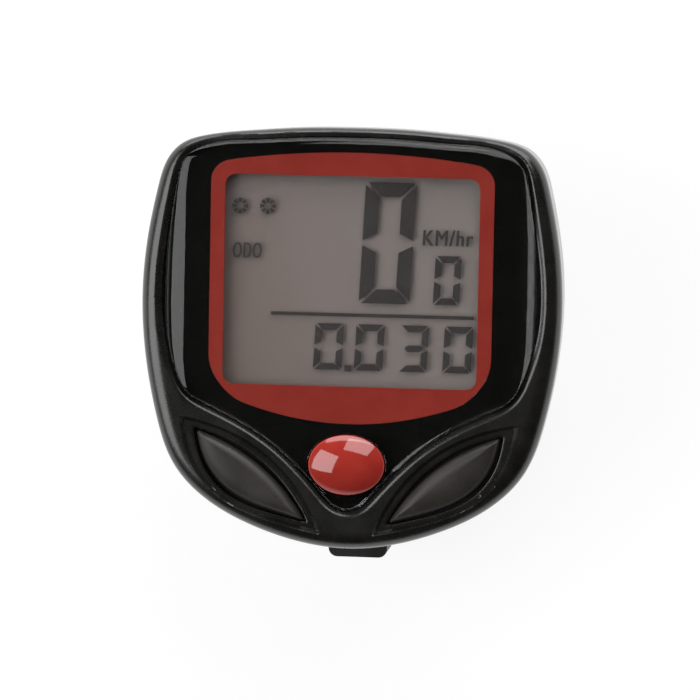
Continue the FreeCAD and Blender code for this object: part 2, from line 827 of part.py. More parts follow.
def contact_studs():
    studs = []
    for x, y in contact_sites():
        head = post(x, y, stud_radius, back_z, back_z + stud_head)
        shank = post(x, y, stud_shank_radius, back_z + stud_head, back_z + 2 * back_wall)
        studs.append(join(head, shank))
    return Part.makeCompound(studs)


def spring_pins():
    """Sprung pins that carry the studs' signal up to the board."""
    pins = []
    for x, y in contact_sites():
        tip = post(x, y, pin_radius, back_z + 2 * back_wall, board_z)
        barrel = post(x, y, stud_shank_radius, (back_z + 3 * back_wall + board_z) / 2, board_z)
        pins.append(join(tip, barrel))
    return Part.makeCompound(pins)


# ---------- keys ----------

def leaf_key(side):
    top = deck_z + key_proud
    edge = key_proud
    sections = [leaf_loop(side, 0.0, key_flange_under), leaf_loop(side, 0.0, deck_z),
                leaf_loop(side, -0.35 * edge, deck_z + 0.6 * edge),
                leaf_loop(side, -1.1 * edge, top)]
    cap = Part.makeLoft(sections, True, True)
    flange = rise(leaf_loop(side, key_flange, key_flange_under), key_flange_thickness)
    plunger = post(side * plunger_x, case_offset + plunger_y, plunger_radius, plunger_end,
                   key_flange_under)
    return join(cap, flange, plunger)


def centre_key():
    y = case_offset + centre_key_y
    stem = rise(centre_loop(0.0, key_flange_under), lens_top - key_flange_under)
    stretch = FreeCAD.Matrix()
    stretch.scale(centre_key_a, centre_key_b, centre_key_crown)
    ball = Part.makeSphere(1.0).transformGeometry(stretch).translated(vec(0, y, lens_top))
    dome = ball.common(box(-case_width, case_width, -case_height, case_height, lens_top,
                           lens_top + 2 * centre_key_crown))
    flange = rise(centre_loop(key_flange, key_flange_under), key_flange_thickness)
    plunger = post(0, y, plunger_radius, plunger_end, key_flange_under)
    return join(stem, dome, flange, plunger)


NODES = {
    "bracket_base": bracket_base,
    "saddle_pad": saddle_pad,
    "bracket_contacts": bracket_contacts,
    "latch_tongue": latch_tongue,
    "back_case": back_case,
    "top_case": top_case,
    "case_seal": case_seal,
    "case_screws": case_screws,
    "lens": lens,
    "lens_mask": lens_mask,
    "red_frame": red_frame,
    "front_polariser": front_polariser,
    "lcd_front_glass": lcd_front_glass,
    "lcd_rear_glass": lcd_rear_glass,
    "rear_reflector": rear_reflector,
    "lcd_tray": lcd_tray,
    "zebra_strip": zebra_strip,
    "circuit_board": circuit_board,
    "board_screws": board_screws,
    "chip_blob": chip_blob,
    "crystal_can": crystal_can,
    "small_parts": small_parts,
    "left_dome": lambda: rubber_dome(-plunger_x, plunger_y),
    "right_dome": lambda: rubber_dome(plunger_x, plunger_y),
    "centre_dome": lambda: rubber_dome(0.0, centre_key_y),
    "battery_cell": battery_cell,
    "negative_contact": negative_contact,
    "positive_contact": positive_contact,
    "battery_cover": battery_cover,
    "cover_gasket": cover_gasket,
    "contact_studs": contact_studs,
    "spring_pins": spring_pins,
    "left_key": lambda: leaf_key(-1),
    "right_key": lambda: leaf_key(1),
    "centre_key": centre_key,
}

os.makedirs("parts", exist_ok=True)
for name, make in NODES.items():
    solid = make()
    solid.exportStep("parts/" + name + ".step")
    print(name, len(solid.Solids), solid.isValid(), round(solid.Volume, 2),
          [round(v, 2) for v in (solid.optimalBoundingBox().XMin, solid.optimalBoundingBox().XMax,
                                 solid.optimalBoundingBox().YMin, solid.optimalBoundingBox().YMax,
                                 solid.optimalBoundingBox().ZMin, solid.optimalBoundingBox().ZMax)])
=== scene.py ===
import bmesh
import bpy
import json
import math
import numpy as np
from mathutils import Matrix, Vector
from mathutils.geometry import delaunay_2d_cdt


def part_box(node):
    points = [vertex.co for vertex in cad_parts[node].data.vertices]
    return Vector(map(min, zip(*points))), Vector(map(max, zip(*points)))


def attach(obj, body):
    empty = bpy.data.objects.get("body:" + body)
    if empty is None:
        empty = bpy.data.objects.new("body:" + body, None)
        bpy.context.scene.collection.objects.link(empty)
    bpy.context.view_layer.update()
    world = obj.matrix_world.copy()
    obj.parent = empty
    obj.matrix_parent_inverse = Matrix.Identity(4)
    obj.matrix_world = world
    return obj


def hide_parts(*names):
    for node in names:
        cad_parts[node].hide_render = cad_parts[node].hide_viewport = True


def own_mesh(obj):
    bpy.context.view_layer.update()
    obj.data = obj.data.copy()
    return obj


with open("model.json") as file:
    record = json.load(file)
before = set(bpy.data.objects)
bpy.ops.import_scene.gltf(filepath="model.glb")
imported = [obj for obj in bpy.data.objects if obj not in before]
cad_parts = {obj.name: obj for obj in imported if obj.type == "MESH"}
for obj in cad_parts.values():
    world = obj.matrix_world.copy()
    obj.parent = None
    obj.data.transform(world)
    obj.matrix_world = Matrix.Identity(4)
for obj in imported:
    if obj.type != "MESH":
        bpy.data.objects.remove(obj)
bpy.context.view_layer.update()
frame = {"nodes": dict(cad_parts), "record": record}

# Lengths below are millimetres unless a name says otherwise; a mesh is stored in metres.
MM = 0.001


# ---------- sizes read from the frame ----------

def node_box(node):
    low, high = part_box(node)
    return np.array(low) / MM, np.array(high) / MM


case_low, case_high = node_box("top_case")
lens_low, lens_high = node_box("lens")
glass_low, glass_high = node_box("lcd_front_glass")
rear_low, rear_high = node_box("lcd_rear_glass")
film_low, film_high = node_box("lens_mask")
red_low, red_high = node_box("red_frame")
dome_key_low, dome_key_high = node_box("centre_key")
tray_top = node_box("lcd_tray")[1][2]
plate_top = node_box("front_polariser")[1][2]
leaf_top = node_box("right_key")[1][2]
foot_z = node_box("bracket_base")[0][2]

HAIR = 0.004                 # keeps the case's curve inside the frame's box
TRAY_GAP = 0.1               # between the display tray and the deck over it
ADHESIVE = 0.02              # between the lens and its print
WELD = 2e-7                  # metres; mesh points closer than this become one
half_width = min(-case_low[0], case_high[0]) - HAIR
half_height = (case_high[1] - case_low[1]) / 2
case_y = (case_high[1] + case_low[1]) / 2
part_z = case_low[2]
deck_z = case_high[2]
deck_under = tray_top + TRAY_GAP
lens_seat = film_low[2]
lens_under = lens_low[2] + ADHESIVE
lens_top = lens_high[2]


# ---------- meshes ----------

def placed(name, data):
    """New object in the scene."""
    thing = bpy.data.objects.new(name, data)
    bpy.context.scene.collection.objects.link(thing)
    return thing


def raw_mesh(name, points, faces):
    """Mesh from points in millimetres."""
    mesh = bpy.data.meshes.new(name)
    mesh.from_pydata([tuple(p) for p in np.asarray(points) * MM], [], [tuple(f) for f in faces])
    return mesh


def shade(mesh, material, smooth_angle):
    """One finish, smooth but for the edges past smooth_angle degrees."""
    mesh.polygons.foreach_set("use_smooth", [True] * len(mesh.polygons))
    mesh.set_sharp_from_angle(angle=math.radians(smooth_angle))
    mesh.materials.clear()
    mesh.materials.append(material)


def mesh_piece(name, parts, material, smooth_angle):
    """Object at the origin from (points, faces) parts in millimetres."""
    mesh = raw_mesh(name, *stack(parts))
    work = bmesh.new()
    work.from_mesh(mesh)
    bmesh.ops.remove_doubles(work, verts=work.verts, dist=WELD)
    bmesh.ops.recalc_face_normals(work, faces=work.faces)
    work.to_mesh(mesh)
    work.free()
    shade(mesh, material, smooth_angle)
    return placed(name, mesh)


def face_steep(piece, material, limit=0.35):
    """Gives the faces that stand near upright a second finish."""
    piece.data.materials.append(material)
    for face in piece.data.polygons:
        if abs(face.normal.z) < limit:
            face.material_index = 1
    return piece


def merged_copy(node, name, material):
    """A CAD node's mesh with its loose triangles joined and its curved faces shaded smooth."""
    work = bmesh.new()
    work.from_mesh(frame["nodes"][node].data)
    bmesh.ops.remove_doubles(work, verts=work.verts, dist=WELD)
    mesh = bpy.data.meshes.new(name)
    work.to_mesh(mesh)
    work.free()
    stored_normals = mesh.attributes.get("custom_normal")
    if stored_normals:
        mesh.attributes.remove(stored_normals)
    shade(mesh, material, 32.0)
    piece = placed(name, mesh)
    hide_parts(node)
    return piece


def curve(points, closed, count):
    """Cubic curve through the points, with count places from each one to the next."""
    knots = np.array(points, dtype=float)
    size = len(knots)
    runs = [(i, (i + 1) % size) for i in range(size if closed else size - 1)]
    matrix = np.zeros((size, size))
    right = np.zeros((size, 2))
    for i, after in runs:
        step = np.linalg.norm(knots[after] - knots[i])
        for here, there in ((i, after), (after, i)):
            matrix[here, here] += 2 / step
            matrix[here, there] += 1 / step
            right[here] += 3 * (knots[after] - knots[i]) / step ** 2
    slope = np.linalg.solve(matrix, right)
    fine = []
    for i, after in runs:
        step = np.linalg.norm(knots[after] - knots[i])
        t = np.linspace(0, 1, count, endpoint=not closed and after == size - 1)[:, None]
        fine.append(knots[i] * (2 * t ** 3 - 3 * t ** 2 + 1) + knots[after] * (3 * t ** 2 - 2 * t ** 3)
                    + slope[i] * step * (t ** 3 - 2 * t ** 2 + t)
                    + slope[after] * step * (t ** 3 - t ** 2))
    return np.vstack(fine)


def even_loop(points, count):
    """A closed run of points, spaced evenly as count points."""
    closed = np.vstack([points, points[:1]])
    run = np.concatenate([[0], np.cumsum(np.linalg.norm(np.diff(closed, axis=0), axis=1))])
    where = np.linspace(0, run[-1], count, endpoint=False)
    return np.column_stack([np.interp(where, run, closed[:, k]) for k in (0, 1)])


def parallel(loop, inset):
    """The loop moved sideways; a positive inset moves it inwards."""
    along = np.roll(loop, -1, axis=0) - np.roll(loop, 1, axis=0)
    along /= np.linalg.norm(along, axis=1)[:, None]
    side = np.column_stack([-along[:, 1], along[:, 0]])
    if loop_area(loop) < 0:
        side = -side
    return loop + side * inset


def loop_area(loop):
    after = np.roll(loop, -1, axis=0)
    return 0.5 * np.sum(loop[:, 0] * after[:, 1] - after[:, 0] * loop[:, 1])


def soften(loop, width):
    """Rounds a loop's corners with a moving average about width wide."""
    pitch = np.linalg.norm(loop[1] - loop[0])
    reach = max(1, int(round(width / pitch / 2)))
    total = np.zeros_like(loop)
    for shift in range(-reach, reach + 1):
        total += np.roll(loop, shift, axis=0)
    return total / (2 * reach + 1)


def inside(points, loop):
    """True for each point within the loop."""
    x, y = points[:, 0][:, None], points[:, 1][:, None]
    x0, y0 = loop[:, 0][None], loop[:, 1][None]
    x1, y1 = np.roll(loop[:, 0], -1)[None], np.roll(loop[:, 1], -1)[None]
    crosses = (y0 > y) != (y1 > y)
    rise = np.where(y1 == y0, 1e-12, y1 - y0)
    return (np.sum(crosses & (x < (x1 - x0) * (y - y0) / rise + x0), axis=1) % 2) == 1


def depth_in(points, loop):
    """Distance from each point to the loop, positive inside it."""
    start = loop[None]
    run = (np.roll(loop, -1, axis=0) - loop)[None]
    reach = []
    for block in np.array_split(points, max(1, len(points) // 2000)):
        gap = block[:, None] - start
        share = np.clip(np.sum(gap * run, axis=2) / np.sum(run * run, axis=2), 0, 1)
        reach.append(np.sqrt(np.min(np.sum((gap - share[..., None] * run) ** 2, axis=2), axis=1)))
    distance = np.concatenate(reach)
    return np.where(inside(points, loop), distance, -distance)


def ease(value, low, high):
    """0 below low, 1 above high, smooth between."""
    share = np.clip((value - low) / (high - low), 0, 1)
    return share * share * (3 - 2 * share)


class Sheet:
    """A surface over the XY plane: closed loops with their heights, and points between them."""

    def __init__(self):
        self.points = []
        self.heights = []
        self.edges = []
        self.total = 0

    def loop(self, loop, heights):
        count = len(loop)
        self.points.append(loop)
        self.heights.append(np.broadcast_to(np.asarray(heights, dtype=float), (count,)))
        self.edges += [(self.total + i, self.total + (i + 1) % count) for i in range(count)]
        self.total += count

    def dots(self, places, height, within, outside):
        """Loose points, kept where they lie deep enough in, or far enough outside, some loops."""
        for loop, least in within:
            places = places[depth_in(places, loop) >= least]
        for loop, least in outside:
            places = places[depth_in(places, loop) <= -least]
        self.points.append(places)
        self.heights.append(height(places))
        self.total += len(places)

    def fill(self, spacing, outer, holes, height):
        """Points on a triangular grid, inside outer, outside holes and clear of the loops."""
        low, high = outer.min(axis=0), outer.max(axis=0)
        rows = np.arange(low[1], high[1], spacing * 0.866)
        grid = np.array([(x + (i % 2) * spacing / 2, y) for i, y in enumerate(rows)
                         for x in np.arange(low[0], high[0], spacing)])
        grid = grid[inside(grid, outer)]
        for hole in holes:
            grid = grid[~inside(grid, hole)]
        fixed = np.vstack(self.points)
        keep = []
        for block in np.array_split(grid, max(1, len(grid) // 500)):
            gap = np.min(np.sum((block[:, None] - fixed[None]) ** 2, axis=2), axis=1)
            keep.append(block[gap > (0.6 * spacing) ** 2])
        grid = np.vstack(keep)
        self.points.append(grid)
        self.heights.append(height(grid))
        self.total += len(grid)

    def faces(self, outer, holes):
        """(points, triangles) of the sheet, cut at outer and open at the holes."""
        flat = np.vstack(self.points)
        tall = np.concatenate(self.heights)
        result = delaunay_2d_cdt([Vector(p) for p in flat], self.edges, [], 0, 1e-7)
        where = np.array([tuple(p) for p in result[0]])
        height = np.empty(len(where))
        for i, given in enumerate(result[3]):
            # Where two loops cross there is a new point, which takes the nearest given height.
            nearest = given[0] if given else np.argmin(np.sum((flat - where[i]) ** 2, axis=1))
            height[i] = tall[nearest]
        triangles = np.array([tuple(f) for f in result[2]])
        middle = where[triangles].mean(axis=1)
        keep = inside(middle, outer)
        for hole in holes:
            keep &= ~inside(middle, hole)
        return np.column_stack([where, height]), triangles[keep]


def stack(parts):
    """Joins (points, faces) parts into one."""
    points, faces, total = [], [], 0
    for some_points, some_faces in parts:
        points.append(np.asarray(some_points))
        faces += [tuple(i + total for i in face) for face in some_faces]
        total += len(some_points)
    return np.vstack(points), faces


def at_height(loop, height):
    return np.column_stack([loop, np.broadcast_to(np.asarray(height, dtype=float), (len(loop),))])


def wall(rings):
    """Quads between rings of equally many 3-D points, in order."""
    count = len(rings[0])
    faces = []
    for row in range(len(rings) - 1):
        for i in range(count):
            after = (i + 1) % count
            faces.append((row * count + i, row * count + after, (row + 1) * count + after,
                          (row + 1) * count + i))
    return np.vstack(rings), faces


def lid(ring):
    """A fan that closes a ring of 3-D points."""
    count = len(ring)
    points = np.vstack([ring, ring.mean(axis=0)])
    return points, [(i, (i + 1) % count, count) for i in range(count)]


def flat_sheet(outer, holes, height):
    sheet = Sheet()
    sheet.loop(outer, height)
    for hole in holes:
        sheet.loop(hole, height)
    return sheet.faces(outer, holes)


# ---------- outlines, as shares of the case's and the lens' half sizes ----------

CASE_SHAPE = [(0.0, 1.0), (0.240, 0.996), (0.479, 0.979), (0.698, 0.953), (0.823, 0.909),
              (0.887, 0.838), (0.932, 0.706), (0.977, 0.475), (1.0, 0.189), (0.981, -0.102),
              (0.925, -0.389), (0.838, -0.619), (0.668, -0.792), (0.442, -0.909), (0.0, -1.0)]
LENS_SHAPE = [(0.0, 1.0), (0.270, 0.995), (0.527, 0.979), (0.793, 0.940), (0.885, 0.876),
              (0.923, 0.769), (0.953, 0.603), (0.982, 0.406), (1.0, 0.197), (0.982, -0.064),
              (0.927, -0.252), (0.860, -0.380), (0.729, -0.462), (0.556, -0.549), (0.371, -0.675),
              (0.228, -0.812), (0.145, -0.905), (0.075, -0.975), (0.0, -1.0)]
lens_half_x = (lens_high[0] - lens_low[0]) / 2
lens_half_y = (lens_high[1] - lens_low[1]) / 2
lens_y = (lens_high[1] + lens_low[1]) / 2
leaf_half_length, leaf_upper, leaf_lower = 8.88, 1.67, 3.3    # a leaf key and its two arcs
leaf_x, leaf_y, leaf_angle = 12.26, -17.4, 38.7               # its middle and its slant, degrees
key_a, key_b = 4.82, 3.82                                     # half axes of the red key
key_y = (dome_key_low[1] + dome_key_high[1]) / 2
KEY_HOLE_FIT = 0.12


def shield(shape, half_x, half_y, middle, count):
    half = [(fx * half_x, middle + fy * half_y) for fx, fy in shape]
    return even_loop(curve(half + [(-x, y) for x, y in reversed(half[1:-1])], True, 60), count)


def leaf(side, length, upper, lower, count=260, rounding=0.9):
    """Leaf-shaped loop: a shallow arc towards the lens and a fuller curve outside."""
    sweep = np.linspace(-1, 1, 60)
    top = [(length * t, upper * (1 - t * t)) for t in sweep]
    knots = np.array([(1.0, 0.0), (0.72, -0.57), (0.21, -0.99), (-0.45, -0.63), (-1.0, 0.0)])
    bottom = curve(knots * (length, lower), False, 15)
    loop = soften(even_loop(np.vstack([top, bottom[1:-1]]), count), rounding)
    turn = math.radians(leaf_angle)
    x = leaf_x + loop[:, 0] * math.cos(turn) - loop[:, 1] * math.sin(turn)
    y = leaf_y + loop[:, 0] * math.sin(turn) + loop[:, 1] * math.cos(turn)
    return np.column_stack([side * x, case_y + y])


def grown_leaf(side, grow, more=0.0):
    return leaf(side, leaf_half_length + grow + more, leaf_upper + grow + more,
                leaf_lower + grow + more)


def oval(a, b, count=160):
    turn = np.linspace(0, 2 * math.pi, count, endpoint=False)
    return np.column_stack([a * np.cos(turn), key_y + b * np.sin(turn)])


case_loop = shield(CASE_SHAPE, half_width, half_height, case_y, 480)
lens_loop = shield(LENS_SHAPE, lens_half_x, lens_half_y, lens_y, 440)
key_hole = oval(key_a + KEY_HOLE_FIT, key_b + KEY_HOLE_FIT)


# ---------- top case ----------

SHOULDER_WIDTH = 2.3         # the deck rolls over to the side wall
SHOULDER_DROP = 1.75
LENS_FIT = 0.12              # lens in its seat
GROOVE_WIDTH = 1.0           # the deck falls towards the lens
GROOVE_DROP = 0.42
DISH_DROP = 0.62             # leaf-shaped hollow round each key
DISH_EDGE = 0.45
RECESS_GROW = 0.5            # sharp-sided recess in the hollow, round the key
RECESS_DROP = 0.95
KEY_FIT = 0.2                # leaf key in its hole
GLASS_ROOM = 0.3             # opening round the display glass
GLASS_ROOM_CORNER = 0.5
FOOT_ROUND, FOOT_ROUND_MIDDLE = 0.25, 0.07
WALL = 1.5

leaf_dish = {side: leaf(side, leaf_half_length + 2.9, leaf_upper + 1.75, leaf_lower + 1.5, 320, 1.2)
             for side in (-1, 1)}
leaf_recess = {side: grown_leaf(side, RECESS_GROW) for side in (-1, 1)}
leaf_hole = {side: grown_leaf(side, KEY_FIT) for side in (-1, 1)}


def deck_height(places):
    """Height of the case's face: rolled shoulder, groove at the lens, hollows at the keys."""
    from_edge = depth_in(places, case_loop)
    from_lens = -depth_in(places, lens_loop)
    reach = np.clip(1 - from_edge / SHOULDER_WIDTH, 0, 1)
    height = deck_z - SHOULDER_DROP * (1 - np.sqrt(np.clip(1 - reach ** 2, 0, 1)))
    height -= GROOVE_DROP * (1 - ease(from_lens, LENS_FIT, GROOVE_WIDTH)) ** 1.5
    for side in (-1, 1):
        hollow = ease(depth_in(places, leaf_dish[side]), 0.0, DISH_EDGE)
        near_edge = ease(from_edge, 0.4, 1.6)
        height -= DISH_DROP * hollow * near_edge
    return height


def top_shell():
    """Case front: its face with the recesses, the side wall and the openings' walls."""
    opening = box_loop(glass_low[0] - GLASS_ROOM, glass_high[0] + GLASS_ROOM,
                       glass_low[1] - GLASS_ROOM, glass_high[1] + GLASS_ROOM, GLASS_ROOM_CORNER)
    holes = [opening, key_hole, leaf_hole[-1], leaf_hole[1]]
    sheet = Sheet()
    for inset in (0.0, 0.05, 0.16, 0.33, 0.55):
        ring = parallel(case_loop, inset)
        sheet.loop(ring, deck_height(ring))
    for outset in (0.42, 0.27, 0.17, LENS_FIT):
        ring = parallel(lens_loop, -outset)
        sheet.loop(ring, deck_height(ring) - (0.06 if outset == LENS_FIT else 0.0))
    sheet.loop(parallel(lens_loop, -LENS_FIT + 0.03), lens_seat)
    for side in (-1, 1):
        for grow, drop in ((0.22, 0.0), (0.1, 0.03), (0.03, 0.12)):
            ring = grown_leaf(side, RECESS_GROW, grow)
            sheet.loop(ring, deck_height(ring) - drop)
        sheet.loop(leaf_recess[side], deck_height(leaf_recess[side]) - RECESS_DROP)
    for hole in (opening, key_hole):
        sheet.loop(hole, lens_seat)
    for side in (-1, 1):
        sheet.loop(leaf_hole[side], deck_height(leaf_hole[side]) - RECESS_DROP)
    keep_off = [(lens_loop, 0.5), (leaf_recess[-1], 0.28), (leaf_recess[1], 0.28)]
    for inset in (0.82, 1.1, 1.45, 1.85, 2.3):
        sheet.dots(parallel(case_loop, inset), deck_height, [(case_loop, 0.98 * inset)], keep_off)
    for outset in (0.6, 0.8, 1.0):
        sheet.dots(parallel(lens_loop, -outset), deck_height, [(case_loop, 0.65)],
                   [(lens_loop, 0.98 * outset)] + keep_off[1:])
    for side in (-1, 1):
        for depth in (0.0, 0.5, 1.0):
            sheet.dots(parallel(leaf_dish[side], depth * DISH_EDGE), deck_height,
                       [(case_loop, 0.65)], keep_off)
    sheet.fill(0.24, parallel(case_loop, 0.62),
               [parallel(lens_loop, -0.5), leaf_recess[-1], leaf_recess[1]], deck_height)
    skin = sheet.faces(case_loop, holes)
    inner = parallel(case_loop, WALL)
    under = flat_sheet(inner, holes, deck_under)
    outer_side = wall([at_height(case_loop, deck_height(case_loop)),
                       at_height(case_loop, part_z + FOOT_ROUND),
                       at_height(parallel(case_loop, FOOT_ROUND_MIDDLE), part_z + FOOT_ROUND_MIDDLE),
                       at_height(parallel(case_loop, FOOT_ROUND), part_z),
                       at_height(inner, part_z), at_height(inner, deck_under)])
    sides = [wall([at_height(hole, lens_seat), at_height(hole, deck_under)])
             for hole in (opening, key_hole)]
    for side in (-1, 1):
        top = at_height(leaf_hole[side], deck_height(leaf_hole[side]) - RECESS_DROP)
        sides.append(wall([top, at_height(leaf_hole[side], deck_under)]))
    parts = [skin, under, outer_side] + sides
    return face_steep(mesh_piece("top_shell", parts, spark_eroded_abs, 30), polished_abs)


def box_loop(x0, x1, y0, y1, corner, per_side=24):
    """Rounded rectangle."""
    points = []
    for cx, cy, start in ((x1 - corner, y1 - corner, 0), (x0 + corner, y1 - corner, 90),
                          (x0 + corner, y0 + corner, 180), (x1 - corner, y0 + corner, 270)):
        for turn in np.linspace(start, start + 90, 9):
            points.append((cx + corner * math.cos(math.radians(turn)),
                           cy + corner * math.sin(math.radians(turn))))
    return even_loop(np.array(points), 4 * per_side + 64)


# ---------- lens ----------

LENS_EDGE = 1.5              # width of the rounded shoulder along the lens' edge
LENS_EDGE_DROP = 0.85
ROLL_START = 20.2            # the lens rolls off towards its two sides
ROLL_RADIUS = 5.2
SIDE_FADE = 0.75             # share of the shoulder that is gone at the lens' two sides
SIDE_FADE_START, SIDE_FADE_END = 17.5, 21.5


def lens_height(places):
    """Height of the lens: flat, with a rounded shoulder and two sides that roll off."""
    reach = np.clip(1 - depth_in(places, lens_loop) / LENS_EDGE, 0, 1)
    side = np.clip(np.abs(places[:, 0]) - ROLL_START, 0, ROLL_RADIUS * 0.95)
    roll = ROLL_RADIUS - np.sqrt(ROLL_RADIUS ** 2 - side ** 2)
    fade = SIDE_FADE * ease(np.abs(places[:, 0]), SIDE_FADE_START, SIDE_FADE_END)
    shoulder = LENS_EDGE_DROP * (1 - fade)
    return lens_top - roll - shoulder * (1 - np.sqrt(np.clip(1 - reach ** 2, 0, 1)))


def clear_lens():
    """Lens with its printed edge and the bore for the red key."""
    sheet = Sheet()
    for inset in (0.0, 0.02, 0.08, 0.18, 0.3):
        ring = parallel(lens_loop, inset)
        sheet.loop(ring, lens_height(ring))
    for grow, drop in ((0.0, 0.1), (0.03, 0.03), (0.1, 0.0)):
        ring = oval(key_a + KEY_HOLE_FIT + grow, key_b + KEY_HOLE_FIT + grow)
        sheet.loop(ring, lens_height(ring) - drop)
    key_room = oval(key_a + 2 * KEY_HOLE_FIT, key_b + 2 * KEY_HOLE_FIT)
    for inset in (0.44, 0.6, 0.8, 1.0, 1.25, 1.5):
        sheet.dots(parallel(lens_loop, inset), lens_height, [(lens_loop, 0.98 * inset)],
                   [(key_room, 0.02)])
    sheet.fill(0.4, parallel(lens_loop, 0.45), [key_room], lens_height)
    skin = sheet.faces(lens_loop, [key_hole])
    under = flat_sheet(lens_loop, [key_hole], lens_under)
    rim = wall([at_height(lens_loop, lens_height(lens_loop)), at_height(lens_loop, lens_under)])
    bore = wall([at_height(key_hole, lens_height(key_hole) - 0.1), at_height(key_hole, lens_under)])
    parts = [skin, under, rim, bore]
    return face_steep(mesh_piece("clear_lens", parts, cast_acrylic, 40), black_ink, 0.1)


# ---------- prints behind the lens ----------

BORDER_BOW_TOP = 1.6         # the red border's top edge bows up in the middle
BORDER_BOW_BOTTOM = 4.16     # and its lower edge bows down
BORDER_CORNER_TOP = 2.1
BORDER_CORNER_BOTTOM = 4.2
WINDOW_SIDE, WINDOW_DROP, WINDOW_RISE, WINDOW_CORNER = 1.8, 2.95, 4.7, 1.3    # in the border


def border_loop(grow):
    """Outline of the red border: upright sides between two bows, with rounded corners."""
    half, top, bottom = red_high[0] + grow, red_high[1] + grow, red_low[1] - grow
    across = np.linspace(-1, 1, 81)
    upper = np.column_stack([-half * across, top - BORDER_BOW_TOP * across ** 2])
    lower = np.column_stack([half * across, bottom + BORDER_BOW_BOTTOM * across ** 2])
    loop = list(rounded_run(upper, BORDER_CORNER_TOP + grow, half, -1.0))
    loop += list(rounded_run(lower, BORDER_CORNER_BOTTOM + grow, half, 1.0))
    return even_loop(np.array(loop), 420)


def rounded_run(bow, corner, half, way):
    """A bow with its ends rounded into the upright sides, which go up from it if way is 1."""
    kept = bow[np.abs(bow[:, 0]) < half - corner]
    ends = []
    for end, near in ((bow[0], kept[0]), (bow[-1], kept[-1])):
        side = np.array([end[0], end[1] + way * corner])
        turn = np.linspace(0, math.pi / 2, 14)[:, None]
        arc = end + (side - end) * (1 - np.sin(turn)) + (near - end) * (1 - np.cos(turn))
        ends.append(arc)
    return np.vstack([ends[0], kept, ends[1][::-1]])


def plate(name, outer, holes, low, high, material):
    """Flat plate between two levels."""
    parts = [flat_sheet(outer, holes, low), flat_sheet(outer, holes, high)]
    parts += [wall([at_height(loop, low), at_height(loop, high)]) for loop in [outer] + holes]
    return mesh_piece(name, parts, material, 30)


def black_film():
    return plate("black_film", parallel(lens_loop, 0.04),
                 [border_loop(0.02), key_hole], film_low[2], film_high[2], black_ink)


def red_border():
    window = box_loop(red_low[0] + WINDOW_SIDE, red_high[0] - WINDOW_SIDE, red_low[1] + WINDOW_RISE,
                      red_high[1] - WINDOW_DROP, WINDOW_CORNER)
    return plate("red_border", border_loop(0.0), [window], film_low[2], film_high[2], red_ink)


# ---------- keys ----------

PLUNGER_RADIUS = 1.2
PLUNGER_GAP = 0.05           # over its rubber dome
FLANGE_GROW = 0.7            # hidden flange that keeps a key in its hole
flange_low, flange_high = deck_under - 0.9, deck_under - 0.2
LEAF_SHOULDER = 0.75         # a leaf key's pillow starts this far under the deck
LEAF_DRAW_IN, LEAF_DRAW_IN_LATE = 1.9, 3.2     # how its pointed ends shorten towards its top
CAP_TILT = math.radians(33.0)                  # slope of the red key's crown at its rim
dome_box = {name: node_box(name) for name in ("left_dome", "right_dome", "centre_dome")}


def plunger(dome):
    """Post from the key's flange down to just over its rubber dome."""
    low, high = dome_box[dome]
    turn = np.linspace(0, 2 * math.pi, 48, endpoint=False)
    middle = (low[:2] + high[:2]) / 2
    loop = middle + PLUNGER_RADIUS * np.column_stack([np.cos(turn), np.sin(turn)])
    rings = [at_height(loop, high[2] + PLUNGER_GAP), at_height(loop, flange_low + 0.05)]
    return [wall(rings), lid(rings[0]), lid(rings[1])]


def stem(outline, top):
    """Rings of a hidden flange and of the stem on it; outline gives the loop for a growth."""
    return [at_height(outline(grow), height)
            for grow, height in ((FLANGE_GROW, flange_low), (FLANGE_GROW, flange_high),
                                 (0.0, flange_high), (0.0, top))]


def key_piece(name, rings, dome, material):
    """Closed solid through the rings, with its plunger."""
    parts = [wall(rings), lid(rings[-1]), lid(rings[0])] + plunger(dome)
    return mesh_piece(name, parts, material, 50)


def leaf_key(side, name):
    """Pillow-topped leaf key on its hidden flange."""
    shoulder = deck_z - LEAF_SHOULDER
    crown = leaf_top - shoulder
    rings = stem(lambda grow: grown_leaf(side, grow), shoulder)
    for turn in np.radians(np.linspace(8, 86, 13)):
        share = math.cos(turn)
        half = leaf_half_length - LEAF_DRAW_IN * (1 - share) - LEAF_DRAW_IN_LATE * (1 - share) ** 3
        loop = leaf(side, half, leaf_upper * share, leaf_lower * share, rounding=0.9 * share + 0.02)
        rings.append(at_height(loop, shoulder + crown * math.sin(turn) ** 0.85))
    return key_piece(name, rings, "left_dome" if side < 0 else "right_dome", soft_touch_rubber)


def red_key():
    """Short stem on a flange, crowned by a shallow cap."""
    foot = lens_top - 0.05
    crown = dome_key_high[2] - foot
    rings = stem(lambda grow: oval(key_a + grow, key_b + grow), foot - 0.12)
    for tilt in np.linspace(1.0, 0.03, 28) * CAP_TILT:
        share = math.sin(tilt) / math.sin(CAP_TILT) * 0.992
        lift = (math.cos(tilt) - math.cos(CAP_TILT)) / (1 - math.cos(CAP_TILT))
        rings.append(at_height(oval(key_a * share, key_b * share), foot + crown * lift))
    return key_piece("red_key", rings, "centre_dome", polished_red_abs)


# ---------- materials ----------

def linear(code):
    """sRGB hex to linear red, green, blue, alpha."""
    parts = [int(code[i:i + 2], 16) / 255 for i in (1, 3, 5)]
    return [p / 12.92 if p <= 0.04045 else ((p + 0.055) / 1.055) ** 2.4 for p in parts] + [1.0]


